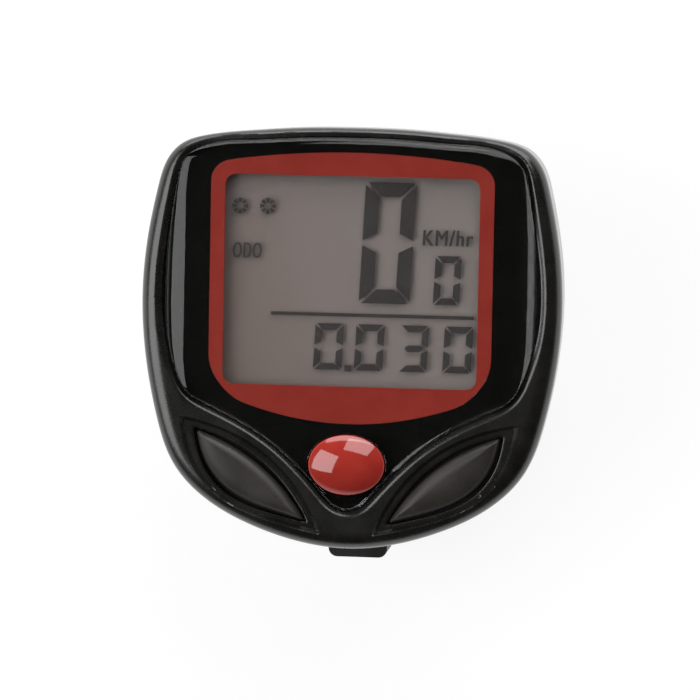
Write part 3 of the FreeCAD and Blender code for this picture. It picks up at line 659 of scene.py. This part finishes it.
def add(tree, kind, settings=None, stops=None, **inputs):
    """Adds a node. An input is a value or another node's output; in0 means input number 0."""
    node = tree.nodes.new(kind)
    for name, value in (settings or {}).items():
        setattr(node, name, value)
    for name, value in inputs.items():
        numbered = name[:2] == "in" and name[2:].isdigit()
        socket = node.inputs[int(name[2:]) if numbered else name.replace("_", " ")]
        if isinstance(value, bpy.types.NodeSocket):
            tree.links.new(value, socket)
        else:
            socket.default_value = value
    if stops:
        ramp = node.color_ramp.elements
        while len(ramp) < len(stops):
            ramp.new(0.5)
        for element, (place, colour) in zip(ramp, stops):
            element.position = place
            element.color = colour
    return node


def new_material(name):
    """Empty material, its tree, and in that the places on the object."""
    material = bpy.data.materials.new(name)
    material.use_nodes = True
    tree = material.node_tree
    tree.nodes.clear()
    return material, tree, add(tree, "ShaderNodeTexCoord").outputs["Object"]


def per_metre(size_mm):
    """Noise scale that gives features about size_mm across."""
    return 1 / (size_mm * MM)


def grained(name, dark, light, rough, grain_mm, depth_mm, cloud_mm=4.0, **shader):
    """Moulded surface: grain as bump, with its colour and gloss clouded at a larger scale.

    dark and light are the colour's two ends, rough is the lowest and highest roughness.
    """
    material, tree, place = new_material(name)
    grain = add(tree, "ShaderNodeTexNoise", Vector=place, Scale=per_metre(grain_mm), Detail=3.0,
                Roughness=0.6)
    cloud = add(tree, "ShaderNodeTexNoise", Vector=place, Scale=per_metre(cloud_mm), Detail=4.0,
                Roughness=0.55)
    both = add(tree, "ShaderNodeMath", {"operation": "MULTIPLY_ADD"}, in0=grain.outputs["Fac"],
               in1=0.35, in2=add(tree, "ShaderNodeMath", {"operation": "MULTIPLY"},
                                 in0=cloud.outputs["Fac"], in1=0.65).outputs[0])
    colour = add(tree, "ShaderNodeValToRGB", stops=[(0.36, linear(dark)), (0.64, linear(light))],
                 Fac=both.outputs[0])
    gloss = add(tree, "ShaderNodeMapRange", Value=both.outputs[0], From_Min=0.36, From_Max=0.64,
                To_Min=rough[0], To_Max=rough[1])
    bump = add(tree, "ShaderNodeBump", Strength=1.0, Distance=depth_mm * MM,
               Height=grain.outputs["Fac"])
    body = add(tree, "ShaderNodeBsdfPrincipled", Base_Color=colour.outputs["Color"],
               Roughness=gloss.outputs[0], Normal=bump.outputs["Normal"], **shader)
    add(tree, "ShaderNodeOutputMaterial", Surface=body.outputs[0])
    return material


def window(name, tint, rough, haze_mm, ior):
    """Clear solid that lets lamps through to what is under it; faint haze varies its gloss."""
    material, tree, place = new_material(name)
    haze = add(tree, "ShaderNodeTexNoise", Vector=place, Scale=per_metre(haze_mm), Detail=3.0)
    gloss = add(tree, "ShaderNodeMapRange", Value=haze.outputs["Fac"], From_Min=0.3, From_Max=0.7,
                To_Min=rough[0], To_Max=rough[1])
    clear = add(tree, "ShaderNodeBsdfPrincipled", Base_Color=linear(tint),
                Roughness=gloss.outputs[0], IOR=ior, Transmission_Weight=1.0)
    lamp_way = add(tree, "ShaderNodeBsdfTransparent")
    rays = add(tree, "ShaderNodeLightPath")
    mix = add(tree, "ShaderNodeMixShader", in0=rays.outputs["Is Shadow Ray"],
              in1=clear.outputs[0], in2=lamp_way.outputs[0])
    add(tree, "ShaderNodeOutputMaterial", Surface=mix.outputs[0])
    return material


# ABS moulded in a spark-eroded tool: a fine pebble that turns a lamp's image into a soft glow.
# The pebble is about 0.1 mm in the tool, drawn at 0.22 mm so that it shows.
spark_eroded_abs = grained("spark_eroded_abs", "#131211", "#1d1c1a", (0.23, 0.33), 0.22, 0.008,
                           Specular_IOR_Level=0.5, IOR=1.54, Coat_Weight=0.7, Coat_Roughness=0.2)

# The same ABS from the polished sides of the tool: seen along the wall it mirrors what is pale.
polished_abs = grained("polished_abs", "#131211", "#1a1917", (0.09, 0.14), 0.5, 0.0006,
                       Specular_IOR_Level=0.5, IOR=1.54)

# The rubber-feel paint on the leaf keys: a little paler and duller than the case round it.
soft_touch_rubber = grained("soft_touch_rubber", "#2e2b28", "#393531", (0.36, 0.46), 0.3, 0.006,
                            IOR=1.5)

# Cast acrylic, flame polished: a sharp image of the lamps over the black print.
cast_acrylic = window("cast_acrylic", "#fdfdfd", (0.012, 0.03), 9.0, 1.49)

# Float glass with its polarising film, seen as one plate: a second, fainter mirror in the display.
display_glass = window("float_glass", "#f8f8f8", (0.03, 0.05), 6.0, 1.5)

# Gloss ink screened on the back of the lens, near black, with a trace of the mesh.
black_ink = grained("screened_black_ink", "#070706", "#0a0a09", (0.30, 0.34), 0.25, 0.0004, IOR=1.5,
                   Specular_IOR_Level=0.05)

# The same ink in red: a flat brick colour that stays dull beside the red key.
red_ink = grained("screened_red_ink", "#7e261e", "#862d24", (0.38, 0.48), 0.25, 0.001, IOR=1.5,
                 Specular_IOR_Level=0.1)

# ABS from a mirror-finished tool: deep red, with the faint waviness of a moulded dome.
polished_red_abs = grained("polished_red_abs", "#a83028", "#b3382e", (0.05, 0.09), 2.4, 0.002,
                           IOR=1.54, Coat_Weight=1.0, Coat_Roughness=0.07)

# Printed liquid crystal segment when dark: brownish black, matt.
dark_segment = grained("dark_segment", "#25211f", "#302b29", (0.5, 0.6), 0.12, 0.001)

# Satin ABS of the bracket: a coarser, duller grain than the case over it.
bracket_abs = grained("satin_abs", "#1e1d1b", "#2a2826", (0.42, 0.54), 0.3, 0.012, IOR=1.54)

# Nitrile rubber of the saddle pad: dusty black, almost without shine.
grip_rubber = grained("nitrile_rubber", "#191817", "#262423", (0.68, 0.82), 0.35, 0.02, IOR=1.5)

# Silicone of the seals and domes: mid grey, with a soft waxy shine.
silicone = grained("grey_silicone", "#77787a", "#85868a", (0.5, 0.62), 0.4, 0.006, IOR=1.43)

# White ABS of the display tray: bright and even, so that light spreads in it.
white_abs = grained("white_abs", "#d4d3cc", "#e0dfd9", (0.38, 0.5), 0.3, 0.006, IOR=1.54)

# Solder mask on the circuit board: green lacquer over a fine weave.
laminate = grained("solder_mask", "#1b5b2e", "#246b38", (0.3, 0.42), 0.5, 0.006, IOR=1.5)

# Epoxy drop over the chip: a black, slightly wavy gloss.
epoxy = grained("epoxy_drop", "#121211", "#1b1a19", (0.12, 0.22), 1.4, 0.02, IOR=1.55)


def turned_metal(name, dark, light, rough, line_mm, depth_mm):
    """Plated or rolled metal: fine lines along one way, and slow changes of gloss."""
    material, tree, place = new_material(name)
    along = add(tree, "ShaderNodeMapping", Vector=place, Scale=(1.0, 12.0, 12.0))
    lines = add(tree, "ShaderNodeTexNoise", Vector=along.outputs[0],
                Scale=per_metre(line_mm) / 12, Detail=3.0)
    colour = add(tree, "ShaderNodeValToRGB", stops=[(0.35, linear(dark)), (0.65, linear(light))],
                 Fac=lines.outputs["Fac"])
    gloss = add(tree, "ShaderNodeMapRange", Value=lines.outputs["Fac"], From_Min=0.3, From_Max=0.7,
                To_Min=rough[0], To_Max=rough[1])
    bump = add(tree, "ShaderNodeBump", Distance=depth_mm * MM, Height=lines.outputs["Fac"])
    body = add(tree, "ShaderNodeBsdfPrincipled", Base_Color=colour.outputs["Color"], Metallic=1.0,
               Roughness=gloss.outputs[0], Normal=bump.outputs["Normal"])
    add(tree, "ShaderNodeOutputMaterial", Surface=body.outputs[0])
    return material


# Nickel plate on steel: cool grey lines that stretch a lamp across the screw heads and the cell.
plated_steel = turned_metal("nickel_plated_steel", "#aaa9a5", "#c3c2be", (0.24, 0.36), 0.12, 0.003)

# Thin gilding on brass contacts: the same lines in warm yellow.
gold_brass = turned_metal("gilded_brass", "#c79a4c", "#dab264", (0.2, 0.32), 0.12, 0.003)


def reflector_film():
    """Brushed foil behind the crystal: warm grey, with painted shade that makes it darker and browner
    to the left and below.
    """
    material, tree, place = new_material("reflector_film")
    middle_y = (rear_low[1] + rear_high[1]) / 2
    spread = 26.0                # per metre: 0 to 1 across a little more than the display
    centred = add(tree, "ShaderNodeMapping", Vector=place,
                  Location=(0.5, 0.5 - middle_y * MM * spread, 0.0), Scale=(spread, spread, spread))
    axes = add(tree, "ShaderNodeSeparateXYZ", Vector=centred.outputs[0])
    # Painted shade: the foil's colour darkens and browns towards the display's left and bottom.
    shade = add(tree, "ShaderNodeMath", {"operation": "MULTIPLY_ADD"}, in0=axes.outputs["Y"],
                in1=0.25, in2=add(tree, "ShaderNodeMath", {"operation": "MULTIPLY"},
                                  in0=axes.outputs["X"], in1=0.75).outputs[0])
    ground = add(tree, "ShaderNodeValToRGB", Fac=shade.outputs[0],
                 stops=[(0.12, linear("#6c5f59")), (0.4, linear("#7b716d")), (0.75, linear("#807874"))])
    grain = add(tree, "ShaderNodeTexNoise", Vector=place, Scale=per_metre(0.25), Detail=2.0)
    speck = add(tree, "ShaderNodeMapRange", Value=grain.outputs["Fac"], To_Min=0.9, To_Max=1.1)
    tinted = add(tree, "ShaderNodeVectorMath", {"operation": "SCALE"},
                 in0=ground.outputs["Color"], Scale=speck.outputs[0])
    bump = add(tree, "ShaderNodeBump", Distance=0.002 * MM, Height=grain.outputs["Fac"])
    body = add(tree, "ShaderNodeBsdfPrincipled", Base_Color=tinted.outputs[0], Roughness=0.55,
               Normal=bump.outputs["Normal"])
    add(tree, "ShaderNodeOutputMaterial", Surface=body.outputs[0])
    return material


foil = reflector_film()


# ---------- what repeats ----------

def ring_tree(name):
    """Node tree that repeats a shape round a circle."""
    tree = bpy.data.node_groups.new(name, "GeometryNodeTree")
    for label, kind in (("Shape", "Object"), ("Count", "Int"), ("Radius", "Float"),
                        ("Finish", "Material")):
        tree.interface.new_socket(label, in_out="INPUT", socket_type="NodeSocket" + kind)
    tree.interface.new_socket("Geometry", in_out="OUTPUT", socket_type="NodeSocketGeometry")
    given = add(tree, "NodeGroupInput").outputs
    shape = add(tree, "GeometryNodeObjectInfo", Object=given["Shape"]).outputs["Geometry"]
    places = add(tree, "GeometryNodeMeshCircle", Vertices=given["Count"], Radius=given["Radius"])
    share = add(tree, "ShaderNodeMath", {"operation": "DIVIDE"}, in0=2 * math.pi,
                in1=given["Count"]).outputs[0]
    number = add(tree, "GeometryNodeInputIndex").outputs[0]
    turn = add(tree, "ShaderNodeMath", {"operation": "MULTIPLY"}, in0=number, in1=share).outputs[0]
    turn = add(tree, "ShaderNodeCombineXYZ", Z=turn).outputs[0]
    copies = add(tree, "GeometryNodeInstanceOnPoints", Points=places.outputs["Mesh"], Instance=shape,
                 Rotation=turn).outputs[0]
    solid = add(tree, "GeometryNodeRealizeInstances", Geometry=copies).outputs[0]
    done = add(tree, "GeometryNodeSetMaterial", Geometry=solid, Material=given["Finish"]).outputs[0]
    add(tree, "NodeGroupOutput", Geometry=done)
    return tree


def repeated(name, tree, values, material, middle):
    """Mesh points and faces, in millimetres about middle, that the tree makes from its inputs."""
    host = placed(name, bpy.data.meshes.new(name))
    modifier = host.modifiers.new("Repeat", "NODES")
    modifier.node_group = tree
    for item in tree.interface.items_tree:
        if item.in_out == "INPUT":
            modifier[item.identifier] = material if item.name == "Finish" else values[item.name]
    evaluated = host.evaluated_get(bpy.context.evaluated_depsgraph_get())
    mesh = bpy.data.meshes.new_from_object(evaluated)
    points = np.array([v.co for v in mesh.vertices]) / MM + middle
    faces = [tuple(p.vertices) for p in mesh.polygons]
    bpy.data.objects.remove(host)
    bpy.data.objects.remove(values["Shape"])
    return points, faces


ring_of = ring_tree("repeat_round_a_circle")


# ---------- display ----------

SEGMENT_Z = rear_high[2] + 0.02
SEGMENT_THICKNESS = 0.04
SLANT = math.tan(math.radians(2.5))
BAR_POINT = 0.55             # how far the middle bar's points reach in, as a share of its stroke
LETTER_BOLD = 0.13           # second copy of each letter, to the right
LETTER_LIFT = 0.002          # and a hair higher, so that the two tops do not coincide
HUB_SHARE = 0.42             # of the wheel mark's radius
RULE_Y, RULE_HALF = 3.07, 0.22         # line under the speed
POINT_X, POINT_Y = -0.24, -3.64        # decimal point
POINT_HALF_X, POINT_HALF_Y = 0.45, 0.42


def prism(outline, low=SEGMENT_Z, high=SEGMENT_Z + SEGMENT_THICKNESS):
    """Solid between two levels with this outline."""
    count = len(outline)
    outline = np.array(outline, dtype=float)
    points = np.vstack([at_height(outline, low), at_height(outline, high)])
    faces = [tuple(reversed(range(count))), tuple(range(count, 2 * count))]
    faces += [(i, (i + 1) % count, count + (i + 1) % count, count + i) for i in range(count)]
    return points, faces


def digit(centre, width, height, stroke, lit, gap=0.16):
    """Seven-segment digit; lit names its dark segments, from a at the top round to f, then g."""
    x, y, s = width / 2, height / 2, stroke
    top = [(-x + gap, y), (x - gap, y), (x - s - gap, y - s), (-x + s + gap, y - s)]
    side = [(x, y - gap), (x - s, y - s - gap), (x - s, s / 2 + gap), (x, gap)]
    bar = [(-x + BAR_POINT * s + gap, 0), (-x + s + gap, s / 2), (x - s - gap, s / 2),
           (x - BAR_POINT * s - gap, 0), (x - s - gap, -s / 2), (-x + s + gap, -s / 2)]
    shapes = {"a": (top, 1, 1), "b": (side, 1, 1), "c": (side, 1, -1), "d": (top, 1, -1),
              "e": (side, -1, -1), "f": (side, -1, 1), "g": (bar, 1, 1)}
    solids = []
    for name in lit:
        outline, flip_x, flip_y = shapes[name]
        placed = [(centre[0] + flip_x * px + SLANT * flip_y * py, case_y + centre[1] + flip_y * py)
                  for px, py in outline]
        solids.append(prism(placed))
    return solids


def lettering(text, centre, width, height):
    """Printed word, width by height, as two thin solids side by side that make it bold."""
    curve = bpy.data.curves.new(text, "FONT")
    curve.body = text
    curve.resolution_u = 6
    curve.extrude = 0.02         # only to tell tops from undersides, as heights are set below
    curve.space_character = 1.14
    source = placed(text, curve)
    evaluated = source.evaluated_get(bpy.context.evaluated_depsgraph_get())
    mesh = bpy.data.meshes.new_from_object(evaluated)
    upper = np.array([v.co[2] > 0 for v in mesh.vertices])
    flat = np.array([v.co[:2] for v in mesh.vertices])
    flat = (flat - (flat.min(axis=0) + flat.max(axis=0)) / 2) / (flat.max(axis=0) - flat.min(axis=0))
    flat = flat * (width, height)
    flat[:, 0] += SLANT * flat[:, 1]
    flat += (centre[0], case_y + centre[1])
    faces = [tuple(p.vertices) for p in mesh.polygons]
    bpy.data.objects.remove(source)
    solids = []
    for copy in range(2):
        shift, lift = (copy - 0.5) * LETTER_BOLD, copy * LETTER_LIFT
        height = np.where(upper, SEGMENT_Z + SEGMENT_THICKNESS, SEGMENT_Z) + lift
        solids.append((at_height(flat + (shift, 0.0), height), faces))
    return solids


def wheel_mark(centre, radius=1.0):
    """Small wheel: eight wedges round a hub."""
    half = math.radians(18)
    across, up = radius * math.cos(half), radius * math.sin(half)
    wedge = [(HUB_SHARE * across, -HUB_SHARE * up), (across, -up), (radius, 0.0), (across, up),
             (HUB_SHARE * across, HUB_SHARE * up)]
    shape = placed("shape", raw_mesh("shape", *prism(wedge)))
    middle = np.array([centre[0], case_y + centre[1], 0.0])
    return repeated("wheel_mark", ring_of, {"Shape": shape, "Count": 8, "Radius": 0.02 * MM},
                    dark_segment, middle)


def segments():
    """Dark marks; places are from the middle line and the case's middle."""
    solids = digit((4.5, 12.2), 6.4, 15.2, 1.8, "abcdef", 0.3)
    solids += digit((12.07, 7.7), 3.3, 6.15, 0.87, "abcdef")
    for x, lit in zip((-2.72, 2.43, 8.0, 13.56), ("abcdef", "abcdef", "abcdg", "abcdef")):
        solids += digit((x, -0.96), 3.6, 5.85, 0.85, lit)
    solids.append(prism(box_loop(POINT_X - POINT_HALF_X, POINT_X + POINT_HALF_X,
                                 case_y + POINT_Y - POINT_HALF_Y, case_y + POINT_Y + POINT_HALF_Y,
                                 0.12, 2)))
    low, high = RULE_Y - RULE_HALF, RULE_Y + RULE_HALF
    line = [(-10.1, low), (15.5, low), (15.5, high), (-10.1, high)]
    solids.append(prism([(x, case_y + y) for x, y in line]))
    solids += [wheel_mark((-14.2, 16.45)), wheel_mark((-10.7, 16.5))]
    solids += lettering("ODO", (-13.2, 10.9), 3.6, 1.95)
    solids += lettering("KM/hr", (12.06, 13.0), 6.2, 2.0)
    return mesh_piece("lcd_segments", solids, dark_segment, 20)


def display_plate():
    """Both glasses and the film on them as one clear plate with small ground edges."""
    edge = 0.12
    foot = rear_low[2] + 0.02    # a hair over the foil
    rings = []
    for inset, height in ((edge, foot), (0.0, foot + edge), (0.0, plate_top - edge),
                          (edge, plate_top)):
        loop = box_loop(glass_low[0] + inset, glass_high[0] - inset, glass_low[1] + inset,
                        glass_high[1] - inset, 0.3, 8)
        rings.append(at_height(loop, height))
    parts = [wall(rings), lid(rings[0]), lid(rings[-1])]
    return mesh_piece("display_plate", parts, display_glass, 30)


# ---------- assembly ----------

body_of = {node: body for body, nodes in frame["record"]["behaviour"]["bodies"].items()
           for node in nodes}


def install(piece, body, slot, *nodes):
    """Puts a piece on its body in place of the CAD nodes; slot, the name of its finish, is not used."""
    if nodes:
        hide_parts(*nodes)
    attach(piece, body)


install(top_shell(), "head", "moulded_abs", "top_case")
install(clear_lens(), "head", "clear_lens", "lens")
install(leaf_key(-1, "left_leaf_key"), "left_button", "key_rubber", "left_key")
install(leaf_key(1, "right_leaf_key"), "right_button", "key_rubber", "right_key")
install(red_key(), "centre_button", "red_key", "centre_key")
install(display_plate(), "head", "display_glass", "front_polariser", "lcd_front_glass",
        "lcd_rear_glass")
install(segments(), "head", "polariser_film")
install(black_film(), "head", "black_print", "lens_mask")
install(red_border(), "head", "red_print", "red_frame")

FINISHES = [
    (bracket_abs, "bracket_abs", ["bracket_base", "latch_tongue"]),
    (grip_rubber, "grip_rubber", ["saddle_pad"]),
    (gold_brass, "brass_contact", ["bracket_contacts"]),
    (polished_abs, "moulded_abs", ["back_case"]),
    (spark_eroded_abs, "moulded_abs", ["battery_cover"]),
    (silicone, "silicone", ["case_seal", "cover_gasket", "left_dome", "right_dome", "centre_dome",
                            "zebra_strip"]),
    (plated_steel, "steel", ["case_screws", "board_screws", "crystal_can", "battery_cell",
                             "negative_contact", "positive_contact"]),
    (gold_brass, "brass_contact", ["contact_studs", "spring_pins"]),
    (foil, "polariser_film", ["rear_reflector"]),
    (white_abs, "white_abs", ["lcd_tray", "small_parts"]),
    (laminate, "circuit_laminate", ["circuit_board"]),
    (epoxy, "epoxy", ["chip_blob"]),
]
DOME_PRESS = {"left_dome": "left_press", "right_dome": "right_press", "centre_dome": "centre_press"}
for node, finish, slot in [(node, finish, slot) for finish, slot, nodes in FINISHES for node in nodes]:
    piece = merged_copy(node, node + "_skin", finish)
    install(piece, body_of[node], slot)
    if node in DOME_PRESS:
        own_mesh(piece)


# ---------- floor, lamps and camera ----------

aim = Vector((0.0001, 0.00175, 0.034))    # metres, like the two distances
CAMERA_DISTANCE = 0.5
LAMP_DISTANCE = 0.7
FOCAL_LENGTH = 205.3
LEAN_RIGHT, LEAN_UP, CAMERA_ROLL = 6.0, 5.0, 1.1     # degrees off straight above
OPEN_FLOOR_LIGHT = 0.64      # how bright the lamps alone make the paper where nothing shades it
FLOOR_GAP = 0.02             # under the feet, so that the two faces do not coincide


def see_through_white(shade_share):
    """White for the eye, mirrors and glass, which keeps shade_share of the floor's own shading."""
    material, tree, place = new_material("white_paper")
    fibre = add(tree, "ShaderNodeTexNoise", Vector=place, Scale=per_metre(3.0), Detail=4.0)
    tone = add(tree, "ShaderNodeValToRGB", Fac=fibre.outputs["Fac"],
               stops=[(0.3, linear("#f6f6f6")), (0.7, linear("#fbfbfb"))])
    paper = add(tree, "ShaderNodeBsdfPrincipled", Base_Color=tone.outputs["Color"], Roughness=0.8,
                Specular_IOR_Level=0.1)
    glow = add(tree, "ShaderNodeEmission", Color=(1.0, 1.0, 1.0, 1.0),
               Strength=(1.0 - shade_share * OPEN_FLOOR_LIGHT) / (1.0 - shade_share))
    mix = add(tree, "ShaderNodeMixShader", in0=white_share(tree, 1.0 - shade_share),
              in1=paper.outputs[0], in2=glow.outputs[0])
    add(tree, "ShaderNodeOutputMaterial", Surface=mix.outputs[0])
    return material


def floor():
    """Wide sheet of white paper under the feet."""
    half = 3000.0
    corners = [(-half, -half), (half, -half), (half, half), (-half, half)]
    sheet = [(x, y, foot_z - FLOOR_GAP) for x, y in corners], [(0, 1, 2, 3)]
    return mesh_piece("floor", [sheet], see_through_white(0.22), 35)


def lamp(name, bearing, height, size, power, roll=0.0):
    """Soft box that faces the object; bearing from +X towards +Y, height above the horizon."""
    light = bpy.data.lights.new(name, "AREA")
    light.shape = "RECTANGLE"
    light.size, light.size_y = size
    light.energy = power
    holder = placed(name, light)
    across, up = math.cos(math.radians(height)), math.sin(math.radians(height))
    towards = Vector((across * math.cos(math.radians(bearing)),
                      across * math.sin(math.radians(bearing)), up))
    holder.location = aim + towards * LAMP_DISTANCE
    holder.rotation_euler = towards.to_track_quat("Z", "Y").to_euler()
    holder.rotation_euler.rotate_axis("Z", math.radians(roll))


def camera():
    """Long lens over the object, leaning a little to the right and up."""
    data = bpy.data.cameras.new("camera")
    data.sensor_width = 36.0
    data.lens = FOCAL_LENGTH
    data.clip_start, data.clip_end = 0.01, 20.0
    holder = placed("camera", data)
    back = Vector((math.sin(math.radians(LEAN_RIGHT)), math.sin(math.radians(LEAN_UP)), 1.0))
    back.normalize()
    across = Vector((0.0, 1.0, 0.0)).cross(back).normalized()
    up = back.cross(across)
    base = Matrix((across, up, back)).transposed().to_4x4()
    holder.matrix_world = (Matrix.Translation(aim + back * CAMERA_DISTANCE) @ base
                           @ Matrix.Rotation(math.radians(CAMERA_ROLL), 4, "Z"))
    bpy.context.scene.camera = holder


def surroundings():
    """Pale walls low down, shown to the eye, mirrors and glass, and a dark ceiling over them."""
    world = bpy.data.worlds.new("room")
    bpy.context.scene.world = world
    world.use_nodes = True
    tree = world.node_tree
    tree.nodes.clear()
    place = add(tree, "ShaderNodeTexCoord").outputs["Object"]
    way = add(tree, "ShaderNodeSeparateXYZ", Vector=place)
    walls = add(tree, "ShaderNodeValToRGB", Fac=way.outputs["Z"],
                stops=[(0.1, (1.0, 1.0, 1.0, 1.0)), (0.3, (0.012, 0.012, 0.012, 1.0))])
    light = add(tree, "ShaderNodeBackground", Color=(1.0, 1.0, 1.0, 1.0), Strength=0.2)
    shown = add(tree, "ShaderNodeBackground", Color=walls.outputs["Color"], Strength=1.0)
    mix = add(tree, "ShaderNodeMixShader", in0=white_share(tree, 1.0), in1=light.outputs[0],
              in2=shown.outputs[0])
    add(tree, "ShaderNodeOutputWorld", Surface=mix.outputs[0])


def white_share(tree, share):
    """share for rays from the eye, mirrors and glass, and 0 for the light on the object."""
    rays = add(tree, "ShaderNodeLightPath").outputs
    total = add(tree, "ShaderNodeMath", {"operation": "ADD"}, in0=rays["Is Camera Ray"],
                in1=rays["Is Glossy Ray"]).outputs[0]
    total = add(tree, "ShaderNodeMath", {"operation": "ADD", "use_clamp": True}, in0=total,
                in1=rays["Is Transmission Ray"]).outputs[0]
    return add(tree, "ShaderNodeMath", {"operation": "MULTIPLY"}, in0=total, in1=share).outputs[0]


floor()
lamp("left_soft_box", 178.0, 47.0, (0.62, 0.50), 2.7, -15.0)
lamp("top_soft_box", 70.0, 42.0, (0.55, 0.40), 1.7)
lamp("low_back_soft_box", 88.0, 17.0, (1.1, 0.34), 3.0)
surroundings()
camera()
bpy.context.scene.view_settings.view_transform = "Standard"
